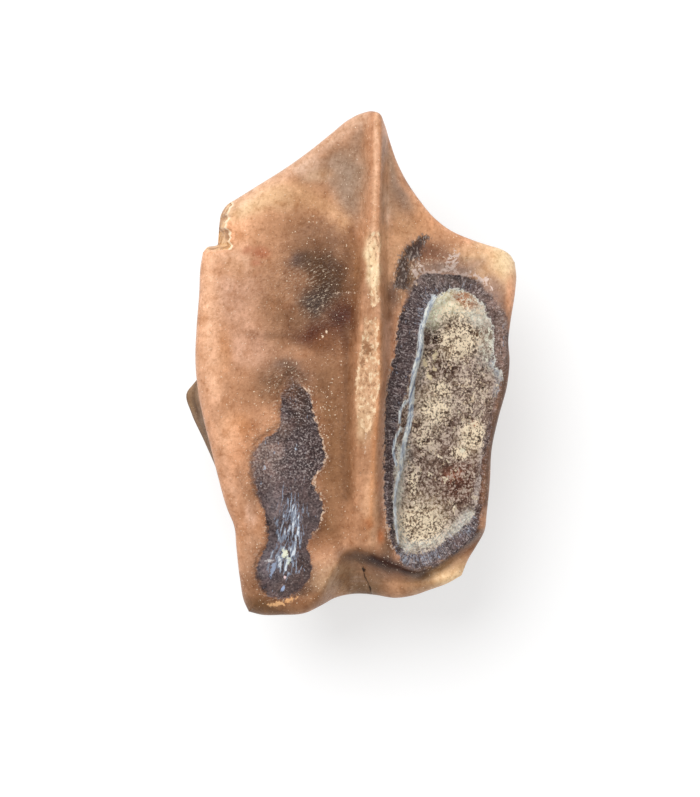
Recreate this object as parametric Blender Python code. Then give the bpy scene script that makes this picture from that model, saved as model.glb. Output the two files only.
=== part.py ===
"""Fossil edmontosaurus tooth: one worn crown, lying on its back with the enamelled face up.

Frame: +Z up, +Y towards the tip of the crown. The origin is under the middle of the tooth, on the
surface that it rests on. Lengths in this file are millimetres, and the mesh is made in metres.

The enamelled face is a shield with a median ridge, drawn by its four sides. A subdivided block is
laid into that shield: its top becomes the face, its sides the margin, and its underside the back,
whose flanks run down to the flat keel that the tooth lies on.
"""

import bmesh
import bpy
import numpy as np
from mathutils import Vector, noise

MM = 0.001
NODE = "tooth"

# Driving dimensions: height of the face over the resting plane, how it is dished inside its margin and
# falls away from its middle, and the depths of the worn areas.
FACE_HEIGHT = 6.45
DISH_DEPTH = 0.42
DISH_RUN = (0.2, 2.4)
FALL_ALONG, FALL_ACROSS = 0.42, 0.30
FACE_MIDDLE, FACE_HALF = (0.5, 1.0), (6.0, 9.5)
FACE_UNEVEN, FACE_SWELL = 0.05, 2.2
HOLLOW_DEPTH = 0.62
WALL_SHARE = 0.54
WORN_PATCH_DEPTH = 0.24

# How far the flanks of the back run, in from each side, before they reach the flat of the keel, the
# size of the back, and how it is rounded, hollowed and uneven.
LEFT_FLANK, RIGHT_FLANK, TIP_FLANK, BASE_FLANK = 4.0, 3.8, 7.4, 2.3
BACK_WIDTH, BACK_LENGTH = 11.6, 17.0
KEEL_ROUNDING = 0.09
FLANK_HOLLOWING = 1.3
BACK_UNEVEN, BACK_SWELL, BACK_EVEN_RIM = 0.16, 2.4, 0.35

# How the margin rounds down from the face, and how far it draws in below the enamel.
MARGIN_ROLL = 0.50
MARGIN_STEEPNESS = 0.96
MARGIN_SHARE = 0.85
MARGIN_WAIST = 0.16

# Width over which a step in the surface falls, which the mesh below can follow.
STEP_WIDTH = 0.34

# Local changes, each as a centre, its radii and an amount: extra rounding of the margin at the right
# shoulder, the base corner and the left side; corners that sit lower; the filled top of the hollow's
# floor; and the rounded lip at the foot.
EXTRA_ROLLS = [
    ((6.3, 4.0), (1.7, 1.4), 0.45), ((-4.0, -9.8), (1.6, 1.3), 0.40), ((-6.2, 0.5), (1.2, 5.0), 0.20),
]
LOW_CORNERS = [((6.6, 4.2), (1.8, 1.7), 0.40), ((-4.2, -10.0), (2.2, 1.8), 0.45)]
FLOOR_FILL = ((4.3, 2.2), (1.5, 0.9), 0.28)
FOOT_LIP = ((3.5, -8.80), (1.6, 0.50), 0.42)

# The median ridge: its crest's line, and stations along it as (y, height, half width of its flat crest,
# run of its left flank, run of its right flank, share of its height that spreads left as a skirt).
CREST_START, CREST_LEAN = 0.76, 0.034
SKIRT_RUN = 1.7
RIDGE = np.array([
    (-8.0, 0.00, 0.18, 0.55, 0.62, 0.00), (-6.6, 0.40, 0.22, 0.55, 0.62, 0.00),
    (-3.6, 0.74, 0.30, 0.55, 0.58, 0.05), (-1.5, 0.84, 0.40, 0.50, 0.50, 0.10),
    (2.2, 0.95, 0.33, 0.50, 0.46, 0.20), (4.8, 0.95, 0.17, 0.50, 0.40, 0.50),
    (7.5, 0.95, 0.13, 0.50, 0.38, 0.50), (10.1, 0.60, 0.10, 0.50, 0.38, 0.50),
])

# The spalled corner of the left shoulder: its border, where it starts and ends, and how it falls.
CHIP_BORDER = -4.74
CHIP_STRETCH = (4.40, 4.95, 6.2, 6.7)
CHIP_DEPTH, CHIP_RUN = 0.95, 0.6

# The four sides of the enamelled face, as (x, y). They meet at the shoulders and at the base corners.
TOP_SIDE = [
    (-5.92, 4.42), (-5.74, 4.66), (-5.36, 4.74), (-5.26, 5.30), (-5.22, 5.94), (-5.02, 6.30),
    (-4.66, 6.52), (-3.56, 7.20), (-2.52, 7.86), (-1.58, 8.54), (-0.76, 9.20), (-0.08, 9.74),
    (0.44, 9.99), (0.86, 10.06), (1.16, 9.96), (1.34, 9.60), (1.56, 8.92), (1.88, 8.00),
    (2.28, 7.22), (2.76, 6.52), (3.32, 5.84), (3.96, 5.34), (4.76, 4.98), (5.56, 4.72),
    (6.06, 4.57), (6.40, 4.36), (6.60, 4.04),
]
RIGHT_SIDE = [
    (6.60, 4.04), (6.66, 3.52), (6.62, 3.00), (6.40, 1.60), (6.32, 0.90), (6.37, 0.10),
    (6.28, -0.84), (5.92, -2.20), (5.66, -3.40), (5.58, -4.80), (5.46, -6.00), (5.36, -6.76),
    (5.04, -7.36), (4.74, -7.86), (4.46, -8.52),
]
BOTTOM_SIDE = [
    (-4.10, -10.00), (-3.60, -10.12), (-2.80, -10.12), (-1.80, -10.02), (-1.20, -9.74),
    (-0.60, -9.44), (0.30, -9.29), (1.00, -9.34), (1.76, -9.45), (2.50, -9.35), (3.20, -9.10),
    (3.90, -8.83), (4.46, -8.52),
]
LEFT_SIDE = [
    (-5.92, 4.42), (-6.02, 3.80), (-6.06, 2.90), (-6.18, 1.30), (-6.22, 0.10), (-6.14, -0.90),
    (-5.88, -2.30), (-5.60, -3.40), (-5.30, -4.60), (-4.96, -5.80), (-4.66, -6.56), (-4.58, -7.40),
    (-4.44, -8.70), (-4.28, -9.60), (-4.10, -10.00),
]

# The same four sides of the body, where the margin ends and the back begins, as (x, y, z). The point
# furthest left is the flange that shows behind the left margin.
BODY_TOP = [
    (-5.50, 4.05, 4.70), (-5.05, 5.40, 4.75), (-4.35, 6.25, 4.80), (-2.45, 7.55, 4.95),
    (-0.80, 8.85, 5.05), (0.45, 9.66, 5.10), (0.92, 9.76, 5.10), (1.20, 9.40, 5.05),
    (1.80, 7.85, 4.95), (2.70, 6.35, 4.85), (3.80, 5.25, 4.70), (5.20, 4.48, 4.45),
    (6.05, 3.70, 4.35),
]
BODY_RIGHT = [
    (6.05, 3.70, 4.35), (6.16, 2.60, 4.50), (6.00, 1.10, 4.60), (5.86, -0.60, 4.55),
    (5.40, -2.60, 4.45), (5.14, -4.60, 4.30), (4.74, -6.70, 4.00), (4.00, -8.05, 3.60),
]
BODY_BOTTOM = [
    (-3.60, -9.40, 3.50), (-2.40, -9.52, 3.20), (-1.00, -9.20, 2.95), (0.60, -8.85, 2.85),
    (2.00, -8.80, 2.95), (3.20, -8.55, 3.20), (4.00, -8.05, 3.60),
]
BODY_LEFT = [
    (-5.50, 4.05, 4.70), (-5.66, 2.20, 4.85), (-5.80, 0.60, 4.75), (-6.10, -0.55, 4.60),
    (-6.62, -1.26, 4.50), (-6.42, -2.00, 4.40), (-5.92, -3.10, 4.30), (-5.44, -4.20, 4.20),
    (-4.84, -5.80, 4.00), (-4.34, -7.60, 3.75), (-3.95, -8.90, 3.60), (-3.60, -9.40, 3.50),
]

# The hollow in the right half of the face: the broken edge of the enamel, and the rim of its floor.
HOLLOW_EDGE = [
    (1.84, -7.56), (1.58, -6.40), (1.46, -4.40), (1.40, -2.60), (1.52, -0.90), (1.80, 0.40),
    (1.96, 1.90), (2.00, 2.90), (2.34, 3.52), (2.92, 3.94), (3.60, 4.08), (4.24, 3.98),
    (4.84, 3.66), (5.40, 3.00), (5.84, 2.24), (6.10, 1.40), (6.10, 0.20), (5.98, -1.00),
    (5.62, -2.60), (5.40, -4.40), (5.28, -6.00), (4.92, -6.96), (4.10, -7.60), (3.20, -8.12),
    (2.44, -8.16),
]
HOLLOW_RIM = [
    (3.92, 2.92), (3.24, 2.40), (2.92, 1.60), (2.64, 0.30), (2.28, -1.00), (1.90, -2.40),
    (1.76, -4.00), (1.74, -6.20), (1.90, -7.36), (2.40, -7.70), (3.20, -7.52), (4.10, -6.92),
    (4.92, -6.20), (5.12, -5.40), (5.24, -4.00), (5.50, -2.50), (5.84, -1.30), (6.06, -0.50),
    (5.80, -0.10), (5.74, 1.00), (5.50, 2.00), (4.84, 2.78), (4.34, 2.98),
]

# The worn patch in the left half of the face, where the enamel has gone to the dentine.
WORN_PATCH = [
    (-2.40, -0.20), (-1.80, -0.70), (-1.52, -1.80), (-1.16, -3.10), (-1.00, -3.90), (-1.40, -4.60),
    (-1.10, -5.70), (-1.30, -6.60), (-1.72, -7.20), (-1.54, -8.20), (-1.90, -9.00), (-2.60, -9.42),
    (-3.30, -9.34), (-3.80, -8.60), (-3.80, -7.80), (-3.40, -7.10), (-3.40, -6.20), (-3.90, -5.00),
    (-4.02, -3.90), (-3.70, -2.90), (-2.96, -2.50), (-2.96, -1.60), (-2.86, -0.80),
]

# The fold at the foot of the face, as (x, y, how far the surface drops below it, and over what run).
FOOT_FOLD = [
    (-6.0, -12.5, 0.0, 1.5), (-2.2, -10.2, 0.2, 1.5), (-1.2, -9.0, 0.6, 1.5), (-0.6, -8.0, 1.0, 1.4),
    (0.0, -7.35, 1.25, 1.3), (0.9, -7.60, 1.20, 1.15), (1.8, -8.20, 1.00, 0.85), (2.6, -8.45, 0.90, 0.82),
    (3.6, -8.10, 0.85, 0.81), (4.4, -7.50, 0.75, 0.80), (5.2, -6.80, 0.50, 0.80), (6.2, -6.2, 0.2, 0.80),
]

# Segments of the block across, along and through the tooth. Across, the cuts keep to the ridge: they
# are counted from the left side to its left flank, crest, right flank and the right side.
SEGMENTS = (42, 50, 4)
CUTS_TO_RIDGE = (0, 16, 19, 21, 24, 42)


def smooth(edge_low, edge_high, value):
    """0 below the low edge, 1 above the high edge, and a smooth step between them."""
    t = np.clip((value - edge_low) / (edge_high - edge_low), 0.0, 1.0)
    return t * t * (3.0 - 2.0 * t)


def hump(x, y, centre, radii):
    """A round hump of height 1 at its centre, one radius wide each way at about a third of that."""
    return np.exp(-(((x - centre[0]) / radii[0]) ** 2) - ((y - centre[1]) / radii[1]) ** 2)


def curve_through(points, samples=240, closed=False):
    """A smooth curve through the points: cubic stretches, with tangents from each point's neighbours."""
    p = np.array(points, float)
    if closed:
        p = np.vstack([p[-2:], p, p[:3]])
    t = np.concatenate([[0.0], np.cumsum(np.linalg.norm(np.diff(p, axis=0), axis=1))])
    tangent = np.gradient(p, t, axis=0, edge_order=1)
    low, high = (t[2], t[-3]) if closed else (t[0], t[-1])
    at = np.linspace(low, high, samples, endpoint=not closed)
    i = np.clip(np.searchsorted(t, at, side="right") - 1, 0, len(t) - 2)
    span = (t[i + 1] - t[i])[:, None]
    s = (at - t[i])[:, None] / span
    return (
        p[i] * (1 + 2 * s) * (1 - s) ** 2
        + tangent[i] * span * s * (1 - s) ** 2
        + p[i + 1] * s**2 * (3 - 2 * s)
        + tangent[i + 1] * span * s**2 * (s - 1)
    )


def distance_to(line, x, y, closed=False):
    """Distance from each point to a line of short stretches. Inside a closed one it is positive."""
    ends = np.roll(line, -1, axis=0) if closed else line[1:]
    starts = line if closed else line[:-1]
    nearest = np.full(x.shape, np.inf)
    inside = np.zeros(x.shape, bool)
    for (ax, ay), (bx, by) in zip(starts, ends):
        dx, dy = bx - ax, by - ay
        along = np.clip(((x - ax) * dx + (y - ay) * dy) / (dx * dx + dy * dy), 0.0, 1.0)
        nearest = np.minimum(nearest, np.hypot(x - ax - along * dx, y - ay - along * dy))
        if closed:
            crosses = (ay > y) != (by > y)
            inside ^= crosses & (x < ax + (y - ay) * dx / np.where(dy == 0, 1.0, dy))
    return np.where(inside, nearest, -nearest) if closed else nearest


def waves(x, y, size, seed):
    """Gentle unevenness between -1 and 1, whose swells are about size wide."""
    return np.array([noise.noise(Vector((a / size, b / size, seed))) for a, b in zip(x, y)])


def along_side(side, share):
    """The points at these shares of a side's length."""
    at = np.linspace(0.0, 1.0, len(side))
    return np.stack([np.interp(share, at, column) for column in side.T], axis=-1)


def shield(u, v, sides):
    """The point at u across and v along, between four curved sides (a Coons patch)."""
    top, right, bottom, left = (curve_through(side) for side in sides)
    left, right = left[::-1], right[::-1]
    a, b = u[:, None], v[:, None]
    corners = (
        bottom[0] * (1 - a) * (1 - b) + bottom[-1] * a * (1 - b) + top[0] * (1 - a) * b + top[-1] * a * b
    )
    across = along_side(bottom, u) * (1 - b) + along_side(top, u) * b
    along = along_side(left, v) * (1 - a) + along_side(right, v) * a
    return across + along - corners


def outline():
    """The whole outline of the face, as one closed line."""
    round_trip = [TOP_SIDE, RIGHT_SIDE, BOTTOM_SIDE[::-1], LEFT_SIDE[::-1]]
    return np.vstack([curve_through(side, 90)[:-1] for side in round_trip])


def crest_x(y):
    """Where the median ridge's crest runs."""
    return CREST_START + CREST_LEAN * y


def along_ridge(y):
    """The ridge at y: height, half width of the crest, runs of its left and right flanks, skirt share."""
    return [np.interp(y, RIDGE[:, 0], column) for column in RIDGE.T[1:]]


def ridge(x, y):
    """Height of the median ridge: a flat crest, two flanks, and a skirt that spreads left."""
    height, half_width, left_run, right_run, skirt_share = along_ridge(y)
    away = x - crest_x(y)
    beyond = np.abs(away) - half_width
    flank = 1.0 - smooth(0.0, 1.0, beyond / np.where(away < 0, left_run, right_run))
    skirt = 1.0 - smooth(0.0, 1.0, beyond / np.where(away < 0, SKIRT_RUN, right_run))
    return height * (flank * (1.0 - skirt_share) + skirt * skirt_share)


def margin_roll(x, y, inward):
    """How far the margin of the face has rounded down."""
    radius = MARGIN_ROLL + sum(amount * hump(x, y, centre, radii) for centre, radii, amount in EXTRA_ROLLS)
    short = np.clip(1.0 - inward / radius, 0.0, 1.0)
    return MARGIN_SHARE * radius * (1.0 - np.sqrt(1.0 - MARGIN_STEEPNESS * short**2))


def hollow(x, y):
    """Depth of the hollow: a wall that slopes in from the broken enamel, then its filled floor."""
    from_edge = distance_to(curve_through(HOLLOW_EDGE, 130, closed=True), x, y, closed=True)
    from_rim = distance_to(curve_through(HOLLOW_RIM, 130, closed=True), x, y, closed=True)
    inside = np.clip(from_edge, 0.0, None)
    down_wall = inside / (inside + np.clip(-from_rim, 0.0, None) + 1e-6)
    wall = WALL_SHARE * smooth(0.0, STEP_WIDTH, from_edge) * down_wall
    floor = (1.0 - WALL_SHARE) * smooth(0.0, 2 * STEP_WIDTH, from_rim)
    centre, radii, amount = FLOOR_FILL
    filled = amount * smooth(0.0, STEP_WIDTH, from_rim) * hump(x, y, centre, radii)
    return HOLLOW_DEPTH * (wall + floor - filled)


def worn_patch(x, y):
    """Depth of the worn patch: a low step at its border and a shallow dish within."""
    inward = distance_to(curve_through(WORN_PATCH, 120, closed=True), x, y, closed=True)
    step, dish = smooth(0.0, STEP_WIDTH, inward), smooth(0.0, 3 * STEP_WIDTH, inward)
    return WORN_PATCH_DEPTH * (step + dish) / 2.0


def foot_drop(x, y):
    """How far the surface drops past the fold at the foot of the face, with a low lip beyond it."""
    fold = curve_through([point[:2] for point in FOOT_FOLD], 120)
    fold_y = np.interp(x, fold[:, 0], fold[:, 1])
    drop, run = (np.interp(x, [p[0] for p in FOOT_FOLD], [p[i] for p in FOOT_FOLD]) for i in (2, 3))
    centre, radii, height = FOOT_LIP
    return drop * smooth(0.0, 1.0, (fold_y - y) / run) - height * hump(x, y, centre, radii)


def chip_drop(x, y):
    """How far the spalled corner of the left shoulder slopes away."""
    past = CHIP_BORDER - x
    start, full, fading, end = CHIP_STRETCH
    along = smooth(start, full, y) * (1.0 - smooth(fading, end, y))
    return CHIP_DEPTH * smooth(0.0, CHIP_RUN, past) * along


def face_height(x, y):
    """Height of the enamelled face over the resting plane."""
    inward = distance_to(outline(), x, y, closed=True)
    across, along = (x - FACE_MIDDLE[0]) / FACE_HALF[0], (y - FACE_MIDDLE[1]) / FACE_HALF[1]
    height = FACE_HEIGHT - DISH_DEPTH * smooth(*DISH_RUN, inward)
    height -= FALL_ALONG * along**2 + FALL_ACROSS * across**2
    height -= sum(amount * hump(x, y, centre, radii) for centre, radii, amount in LOW_CORNERS)
    height -= margin_roll(x, y, np.clip(inward, 0.0, None))
    height += ridge(x, y) + FACE_UNEVEN * waves(x, y, FACE_SWELL, 3.0)
    return height - hollow(x, y) - worn_patch(x, y) - foot_drop(x, y) - chip_drop(x, y)


def back_height(u, v, start):
    """Height of the back: hollow-ground flanks, which start at the margin and end in the flat keel."""
    runs = (
        u * BACK_WIDTH / LEFT_FLANK,
        (1.0 - u) * BACK_WIDTH / RIGHT_FLANK,
        (1.0 - v) * BACK_LENGTH / TIP_FLANK,
        v * BACK_LENGTH / BASE_FLANK,
    )
    nearest = -KEEL_ROUNDING * np.log(sum(np.exp(-run / KEEL_ROUNDING) for run in runs))
    down = np.clip(nearest / (1.0 - KEEL_ROUNDING), 0.0, 1.0)
    return start * (1.0 - down) ** FLANK_HOLLOWING, down


def block_mesh():
    """A unit block, cut into the segments given above, from 0 to 1 each way."""
    block = bmesh.new()
    bmesh.ops.create_cube(block, size=1.0)
    for axis, cuts in enumerate(SEGMENTS):
        running = [e for e in block.edges if abs(e.verts[0].co[axis] - e.verts[1].co[axis]) > 0.5]
        bmesh.ops.subdivide_edges(block, edges=running, cuts=cuts - 1, use_grid_fill=True)
    bmesh.ops.translate(block, verts=block.verts, vec=(0.5, 0.5, 0.5))
    return block


def crowded(share, strength=0.5):
    """Moves cuts towards both ends of a stretch, where the surface bends most."""
    return share - strength / (2.0 * np.pi) * np.sin(2.0 * np.pi * share)


def on_ridge(v, sides, tries=6):
    """Where across the shield the ridge's crest lies, and the change in that for a millimetre."""
    u = np.full(v.shape, 0.5)
    for _ in range(tries):
        here, beside = shield(u, v, sides), shield(u + 0.01, v, sides)
        per_mm = 0.01 / (beside[:, 0] - here[:, 0])
        u += (crest_x(here[:, 1]) - here[:, 0]) * per_mm
    return u, per_mm, here[:, 1]


def keeping_to_ridge(share, v, sides):
    """How far across the shield each cut lies, with the ridge's four edges on cuts of their own."""
    crest, per_mm, y = on_ridge(v, sides)
    _, half_width, left_run, right_run, _ = along_ridge(y)
    edges = [
        np.zeros_like(v), crest - (half_width + left_run) * per_mm, crest - half_width * per_mm,
        crest + half_width * per_mm, crest + (half_width + right_run) * per_mm, np.ones_like(v),
    ]
    knots = np.array(CUTS_TO_RIDGE) / SEGMENTS[0]
    u = np.zeros_like(v)
    for start, end, low, high in zip(knots, knots[1:], edges, edges[1:]):
        within = np.clip((share - start) / (end - start), 0.0, 1.0)
        u += (high - low) * (crowded(within) if end - start > 0.2 else within)
    return u


def shaped(block_points):
    """The tooth's surface points for the block's points."""
    u, v, t = block_points.T
    sides = (TOP_SIDE, RIGHT_SIDE, BOTTOM_SIDE, LEFT_SIDE)
    v, t = crowded(v), 1.0 - t
    u = keeping_to_ridge(u, v, sides)
    face = shield(u, v, sides)
    face = np.column_stack([face, face_height(*face.T)])
    body = shield(u, v, (BODY_TOP, BODY_RIGHT, BODY_BOTTOM, BODY_LEFT))
    keel, down = back_height(u, v, body[:, 2])
    swells = waves(body[:, 0], body[:, 1], BACK_SWELL, 11.0)
    uneven = BACK_UNEVEN * swells * smooth(0.0, BACK_EVEN_RIM, down)
    back = np.column_stack([body[:, :2], np.maximum(keel + uneven, 0.0)])
    # Between face and back, the margin draws in below the enamel before it meets the body.
    share = t[:, None]
    inward = np.column_stack([0.5 - u, 0.5 - v, 0.0 * u])
    inward /= np.linalg.norm(inward, axis=1)[:, None] + 1e-9
    return face * (1.0 - share) + back * share + MARGIN_WAIST * np.sin(np.pi * share) * inward


def fossil_material():
    """Satin fossil enamel, tan with a pink cast."""
    material = bpy.data.materials.new("fossil_enamel")
    material.use_nodes = True
    surface = material.node_tree.nodes["Principled BSDF"]
    surface.inputs["Base Color"].default_value = (0.50, 0.29, 0.18, 1.0)
    surface.inputs["Roughness"].default_value = 0.42
    surface.inputs["Metallic"].default_value = 0.0
    return material


def build_tooth(collection):
    """The tooth as one closed mesh, centred over the origin."""
    block = block_mesh()
    points = shaped(np.array([vertex.co for vertex in block.verts]))
    points[:, :2] -= (points[:, :2].min(axis=0) + points[:, :2].max(axis=0)) / 2.0
    for vertex, point in zip(block.verts, points):
        vertex.co = Vector(point * MM)
    bmesh.ops.triangulate(block, faces=block.faces)
    mesh = bpy.data.meshes.new(NODE)
    block.to_mesh(mesh)
    block.free()
    mesh.shade_smooth()
    mesh.materials.append(fossil_material())
    tooth = bpy.data.objects.new(NODE, mesh)
    collection.objects.link(tooth)
    return tooth


def main():
    for leftover in list(bpy.data.objects):
        bpy.data.objects.remove(leftover, do_unlink=True)
    collection = bpy.data.collections.new("fossil_edmontosaurus_tooth")
    bpy.context.scene.collection.children.link(collection)
    build_tooth(collection)


main()
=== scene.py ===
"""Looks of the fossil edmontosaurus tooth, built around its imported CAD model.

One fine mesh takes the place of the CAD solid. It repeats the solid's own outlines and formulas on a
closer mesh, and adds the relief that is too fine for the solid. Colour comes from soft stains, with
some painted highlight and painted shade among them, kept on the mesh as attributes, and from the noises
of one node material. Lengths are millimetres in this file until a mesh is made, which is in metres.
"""

import math

import bmesh
import bpy
import numpy as np
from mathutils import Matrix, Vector, noise


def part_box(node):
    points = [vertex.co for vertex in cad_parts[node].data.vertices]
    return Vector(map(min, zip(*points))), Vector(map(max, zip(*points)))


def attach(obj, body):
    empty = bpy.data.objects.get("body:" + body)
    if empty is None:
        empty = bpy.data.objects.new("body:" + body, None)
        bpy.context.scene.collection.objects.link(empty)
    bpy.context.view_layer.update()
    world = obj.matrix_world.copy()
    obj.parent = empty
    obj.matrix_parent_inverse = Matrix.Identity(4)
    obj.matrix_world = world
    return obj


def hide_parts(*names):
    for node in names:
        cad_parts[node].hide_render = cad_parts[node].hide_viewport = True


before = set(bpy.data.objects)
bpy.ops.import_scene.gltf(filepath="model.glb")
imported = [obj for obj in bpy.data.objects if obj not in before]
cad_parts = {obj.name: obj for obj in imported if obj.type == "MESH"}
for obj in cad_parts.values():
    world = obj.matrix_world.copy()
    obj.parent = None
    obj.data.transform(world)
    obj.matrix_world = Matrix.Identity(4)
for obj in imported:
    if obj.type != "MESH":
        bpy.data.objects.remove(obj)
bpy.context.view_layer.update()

MM = 0.001
NODE = "tooth"
PIECE = "tooth_surface"

# ---------------------------------------------------------------- shape, as in the CAD source

FACE_HEIGHT = 6.45
DISH_DEPTH = 0.42
DISH_RUN = (0.2, 2.4)
FALL_ALONG, FALL_ACROSS = 0.42, 0.3
FACE_MIDDLE, FACE_HALF = (0.5, 1.0), (6.0, 9.5)
FACE_UNEVEN, FACE_SWELL = 0.05, 2.2
HOLLOW_DEPTH = 0.62
WORN_PATCH_DEPTH = 0.24

# How far the flanks of the back run, in from each side, before they reach the flat of the keel, the
# size of the back, and how it is rounded, hollowed and uneven.
LEFT_FLANK, RIGHT_FLANK, TIP_FLANK, BASE_FLANK = 4.0, 3.8, 7.4, 2.3
BACK_WIDTH, BACK_LENGTH = 11.6, 17.0
KEEL_ROUNDING = 0.09
FLANK_HOLLOWING = 1.3
BACK_UNEVEN, BACK_SWELL, BACK_EVEN_RIM = 0.16, 2.4, 0.35

# How the margin rounds down from the face, and how far it draws in below the enamel.
MARGIN_ROLL = 0.5
MARGIN_STEEPNESS = 0.96
MARGIN_SHARE = 0.85
MARGIN_WAIST = 0.16

# Width over which a step in the surface falls: less than in the solid, since this mesh is closer.
STEP_WIDTH = 0.16

# The hollow's wall: what its broken edge falls at once, over which run, and how much longer that run
# is at the gentle stretches; what the wall falls, and what the floor falls from its rim; and how much
# the pale rim and its splinters stand up, with the half width of each.
EDGE_FALL, EDGE_RUN, GENTLE_RUN = 0.14, 0.1, 0.6
GENTLE_EDGES = [((3.9, 4.1), (1.8, 0.8)), ((5.4, 3.0), (1.1, 1.2))]
WALL_FALL, FLOOR_FALL = 0.4, 0.46
RIM_LIP, SPLINTER_LIP = (0.16, 0.12), (0.1, 0.09)
LIP_SHARE = 0.6

# Local changes, each as a centre, its radii and an amount: extra rounding of the margin at the right
# shoulder, the base corner and the left side; corners that sit lower; the filled top of the hollow's
# floor; and the rounded lip at the foot.
EXTRA_ROLLS = [
    ((6.3, 4.0), (1.7, 1.4), 0.45), ((-4.0, -9.8), (1.6, 1.3), 0.4), ((-6.2, 0.5), (1.2, 5.0), 0.2),
]
LOW_CORNERS = [((6.6, 4.2), (1.8, 1.7), 0.4), ((-4.2, -10.0), (2.2, 1.8), 0.45)]
FLOOR_FILL = ((4.3, 2.2), (1.5, 0.9), 0.28)
FOOT_LIP = ((3.5, -8.8), (1.6, 0.5), 0.42)

# The median ridge: its crest's line, and stations along it as (y, height, half width of its flat crest,
# run of its left flank, run of its right flank, share of its height that spreads left as a skirt).
CREST_START, CREST_LEAN = 0.76, 0.034
SKIRT_RUN = 1.7
RIDGE = np.array([
    (-8.0, 0.0, 0.18, 0.55, 0.62, 0.0), (-6.6, 0.4, 0.22, 0.55, 0.62, 0.0),
    (-3.6, 0.74, 0.3, 0.55, 0.58, 0.05), (-1.5, 0.84, 0.4, 0.5, 0.5, 0.1),
    (2.2, 0.95, 0.33, 0.5, 0.46, 0.2), (4.8, 0.95, 0.17, 0.5, 0.4, 0.5),
    (7.5, 0.95, 0.13, 0.5, 0.38, 0.5), (10.1, 0.6, 0.1, 0.5, 0.38, 0.5),
])

# The spalled corner of the left shoulder: its border, where it starts and ends, and how it falls.
CHIP_BORDER = -4.74
CHIP_STRETCH = (4.4, 4.95, 6.2, 6.7)
CHIP_DEPTH, CHIP_RUN = 0.95, 0.6

# Outlines seen from above: the four sides of the enamelled face; the four sides of the back, each point
# with its height; the border of the hollow and of its floor; and the worn patch.
TOP_SIDE = [
    (-5.92, 4.42), (-5.74, 4.66), (-5.36, 4.74), (-5.26, 5.3), (-5.22, 5.94), (-5.02, 6.3), (-4.66, 6.52),
    (-3.56, 7.2), (-2.52, 7.86), (-1.58, 8.54), (-0.76, 9.2), (-0.08, 9.74), (0.44, 9.99), (0.86, 10.06),
    (1.16, 9.96), (1.34, 9.6), (1.56, 8.92), (1.88, 8.0), (2.28, 7.22), (2.76, 6.52), (3.32, 5.84),
    (3.96, 5.34), (4.76, 4.98), (5.56, 4.72), (6.06, 4.57), (6.4, 4.36), (6.6, 4.04),
]
RIGHT_SIDE = [
    (6.6, 4.04), (6.66, 3.52), (6.62, 3.0), (6.4, 1.6), (6.32, 0.9), (6.37, 0.1), (6.28, -0.84),
    (5.92, -2.2), (5.66, -3.4), (5.58, -4.8), (5.46, -6.0), (5.36, -6.76), (5.04, -7.36), (4.74, -7.86),
    (4.46, -8.52),
]
BOTTOM_SIDE = [
    (-4.1, -10.0), (-3.6, -10.12), (-2.8, -10.12), (-1.8, -10.02), (-1.2, -9.74), (-0.6, -9.44),
    (0.3, -9.29), (1.0, -9.34), (1.76, -9.45), (2.5, -9.35), (3.2, -9.1), (3.9, -8.83), (4.46, -8.52),
]
LEFT_SIDE = [
    (-5.92, 4.42), (-6.02, 3.8), (-6.06, 2.9), (-6.18, 1.3), (-6.22, 0.1), (-6.14, -0.9), (-5.88, -2.3),
    (-5.6, -3.4), (-5.3, -4.6), (-4.96, -5.8), (-4.66, -6.56), (-4.58, -7.4), (-4.44, -8.7), (-4.28, -9.6),
    (-4.1, -10.0),
]
BODY_TOP = [
    (-5.5, 4.05, 4.7), (-5.05, 5.4, 4.75), (-4.35, 6.25, 4.8), (-2.45, 7.55, 4.95), (-0.8, 8.85, 5.05),
    (0.45, 9.66, 5.1), (0.92, 9.76, 5.1), (1.2, 9.4, 5.05), (1.8, 7.85, 4.95), (2.7, 6.35, 4.85),
    (3.8, 5.25, 4.7), (5.2, 4.48, 4.45), (6.05, 3.7, 4.35),
]
BODY_RIGHT = [
    (6.05, 3.7, 4.35), (6.16, 2.6, 4.5), (6.0, 1.1, 4.6), (5.86, -0.6, 4.55), (5.4, -2.6, 4.45),
    (5.14, -4.6, 4.3), (4.74, -6.7, 4.0), (4.0, -8.05, 3.6),
]
BODY_BOTTOM = [
    (-3.6, -9.4, 3.5), (-2.4, -9.52, 3.2), (-1.0, -9.2, 2.95), (0.6, -8.85, 2.85), (2.0, -8.8, 2.95),
    (3.2, -8.55, 3.2), (4.0, -8.05, 3.6),
]
BODY_LEFT = [
    (-5.5, 4.05, 4.7), (-5.66, 2.2, 4.85), (-5.8, 0.6, 4.75), (-6.1, -0.55, 4.6), (-6.62, -1.26, 4.5),
    (-6.42, -2.0, 4.4), (-5.92, -3.1, 4.3), (-5.44, -4.2, 4.2), (-4.84, -5.8, 4.0), (-4.34, -7.6, 3.75),
    (-3.95, -8.9, 3.6), (-3.6, -9.4, 3.5),
]
HOLLOW_EDGE = [
    (1.84, -7.56), (1.58, -6.4), (1.46, -4.4), (1.4, -2.6), (1.52, -0.9), (1.8, 0.4), (1.96, 1.9),
    (2.0, 2.9), (2.34, 3.52), (2.92, 3.94), (3.6, 4.08), (4.24, 3.98), (4.84, 3.66), (5.4, 3.0),
    (5.84, 2.24), (6.1, 1.4), (6.1, 0.2), (5.98, -1.0), (5.62, -2.6), (5.4, -4.4), (5.28, -6.0),
    (4.92, -6.96), (4.1, -7.6), (3.2, -8.12), (2.44, -8.16),
]
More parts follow.
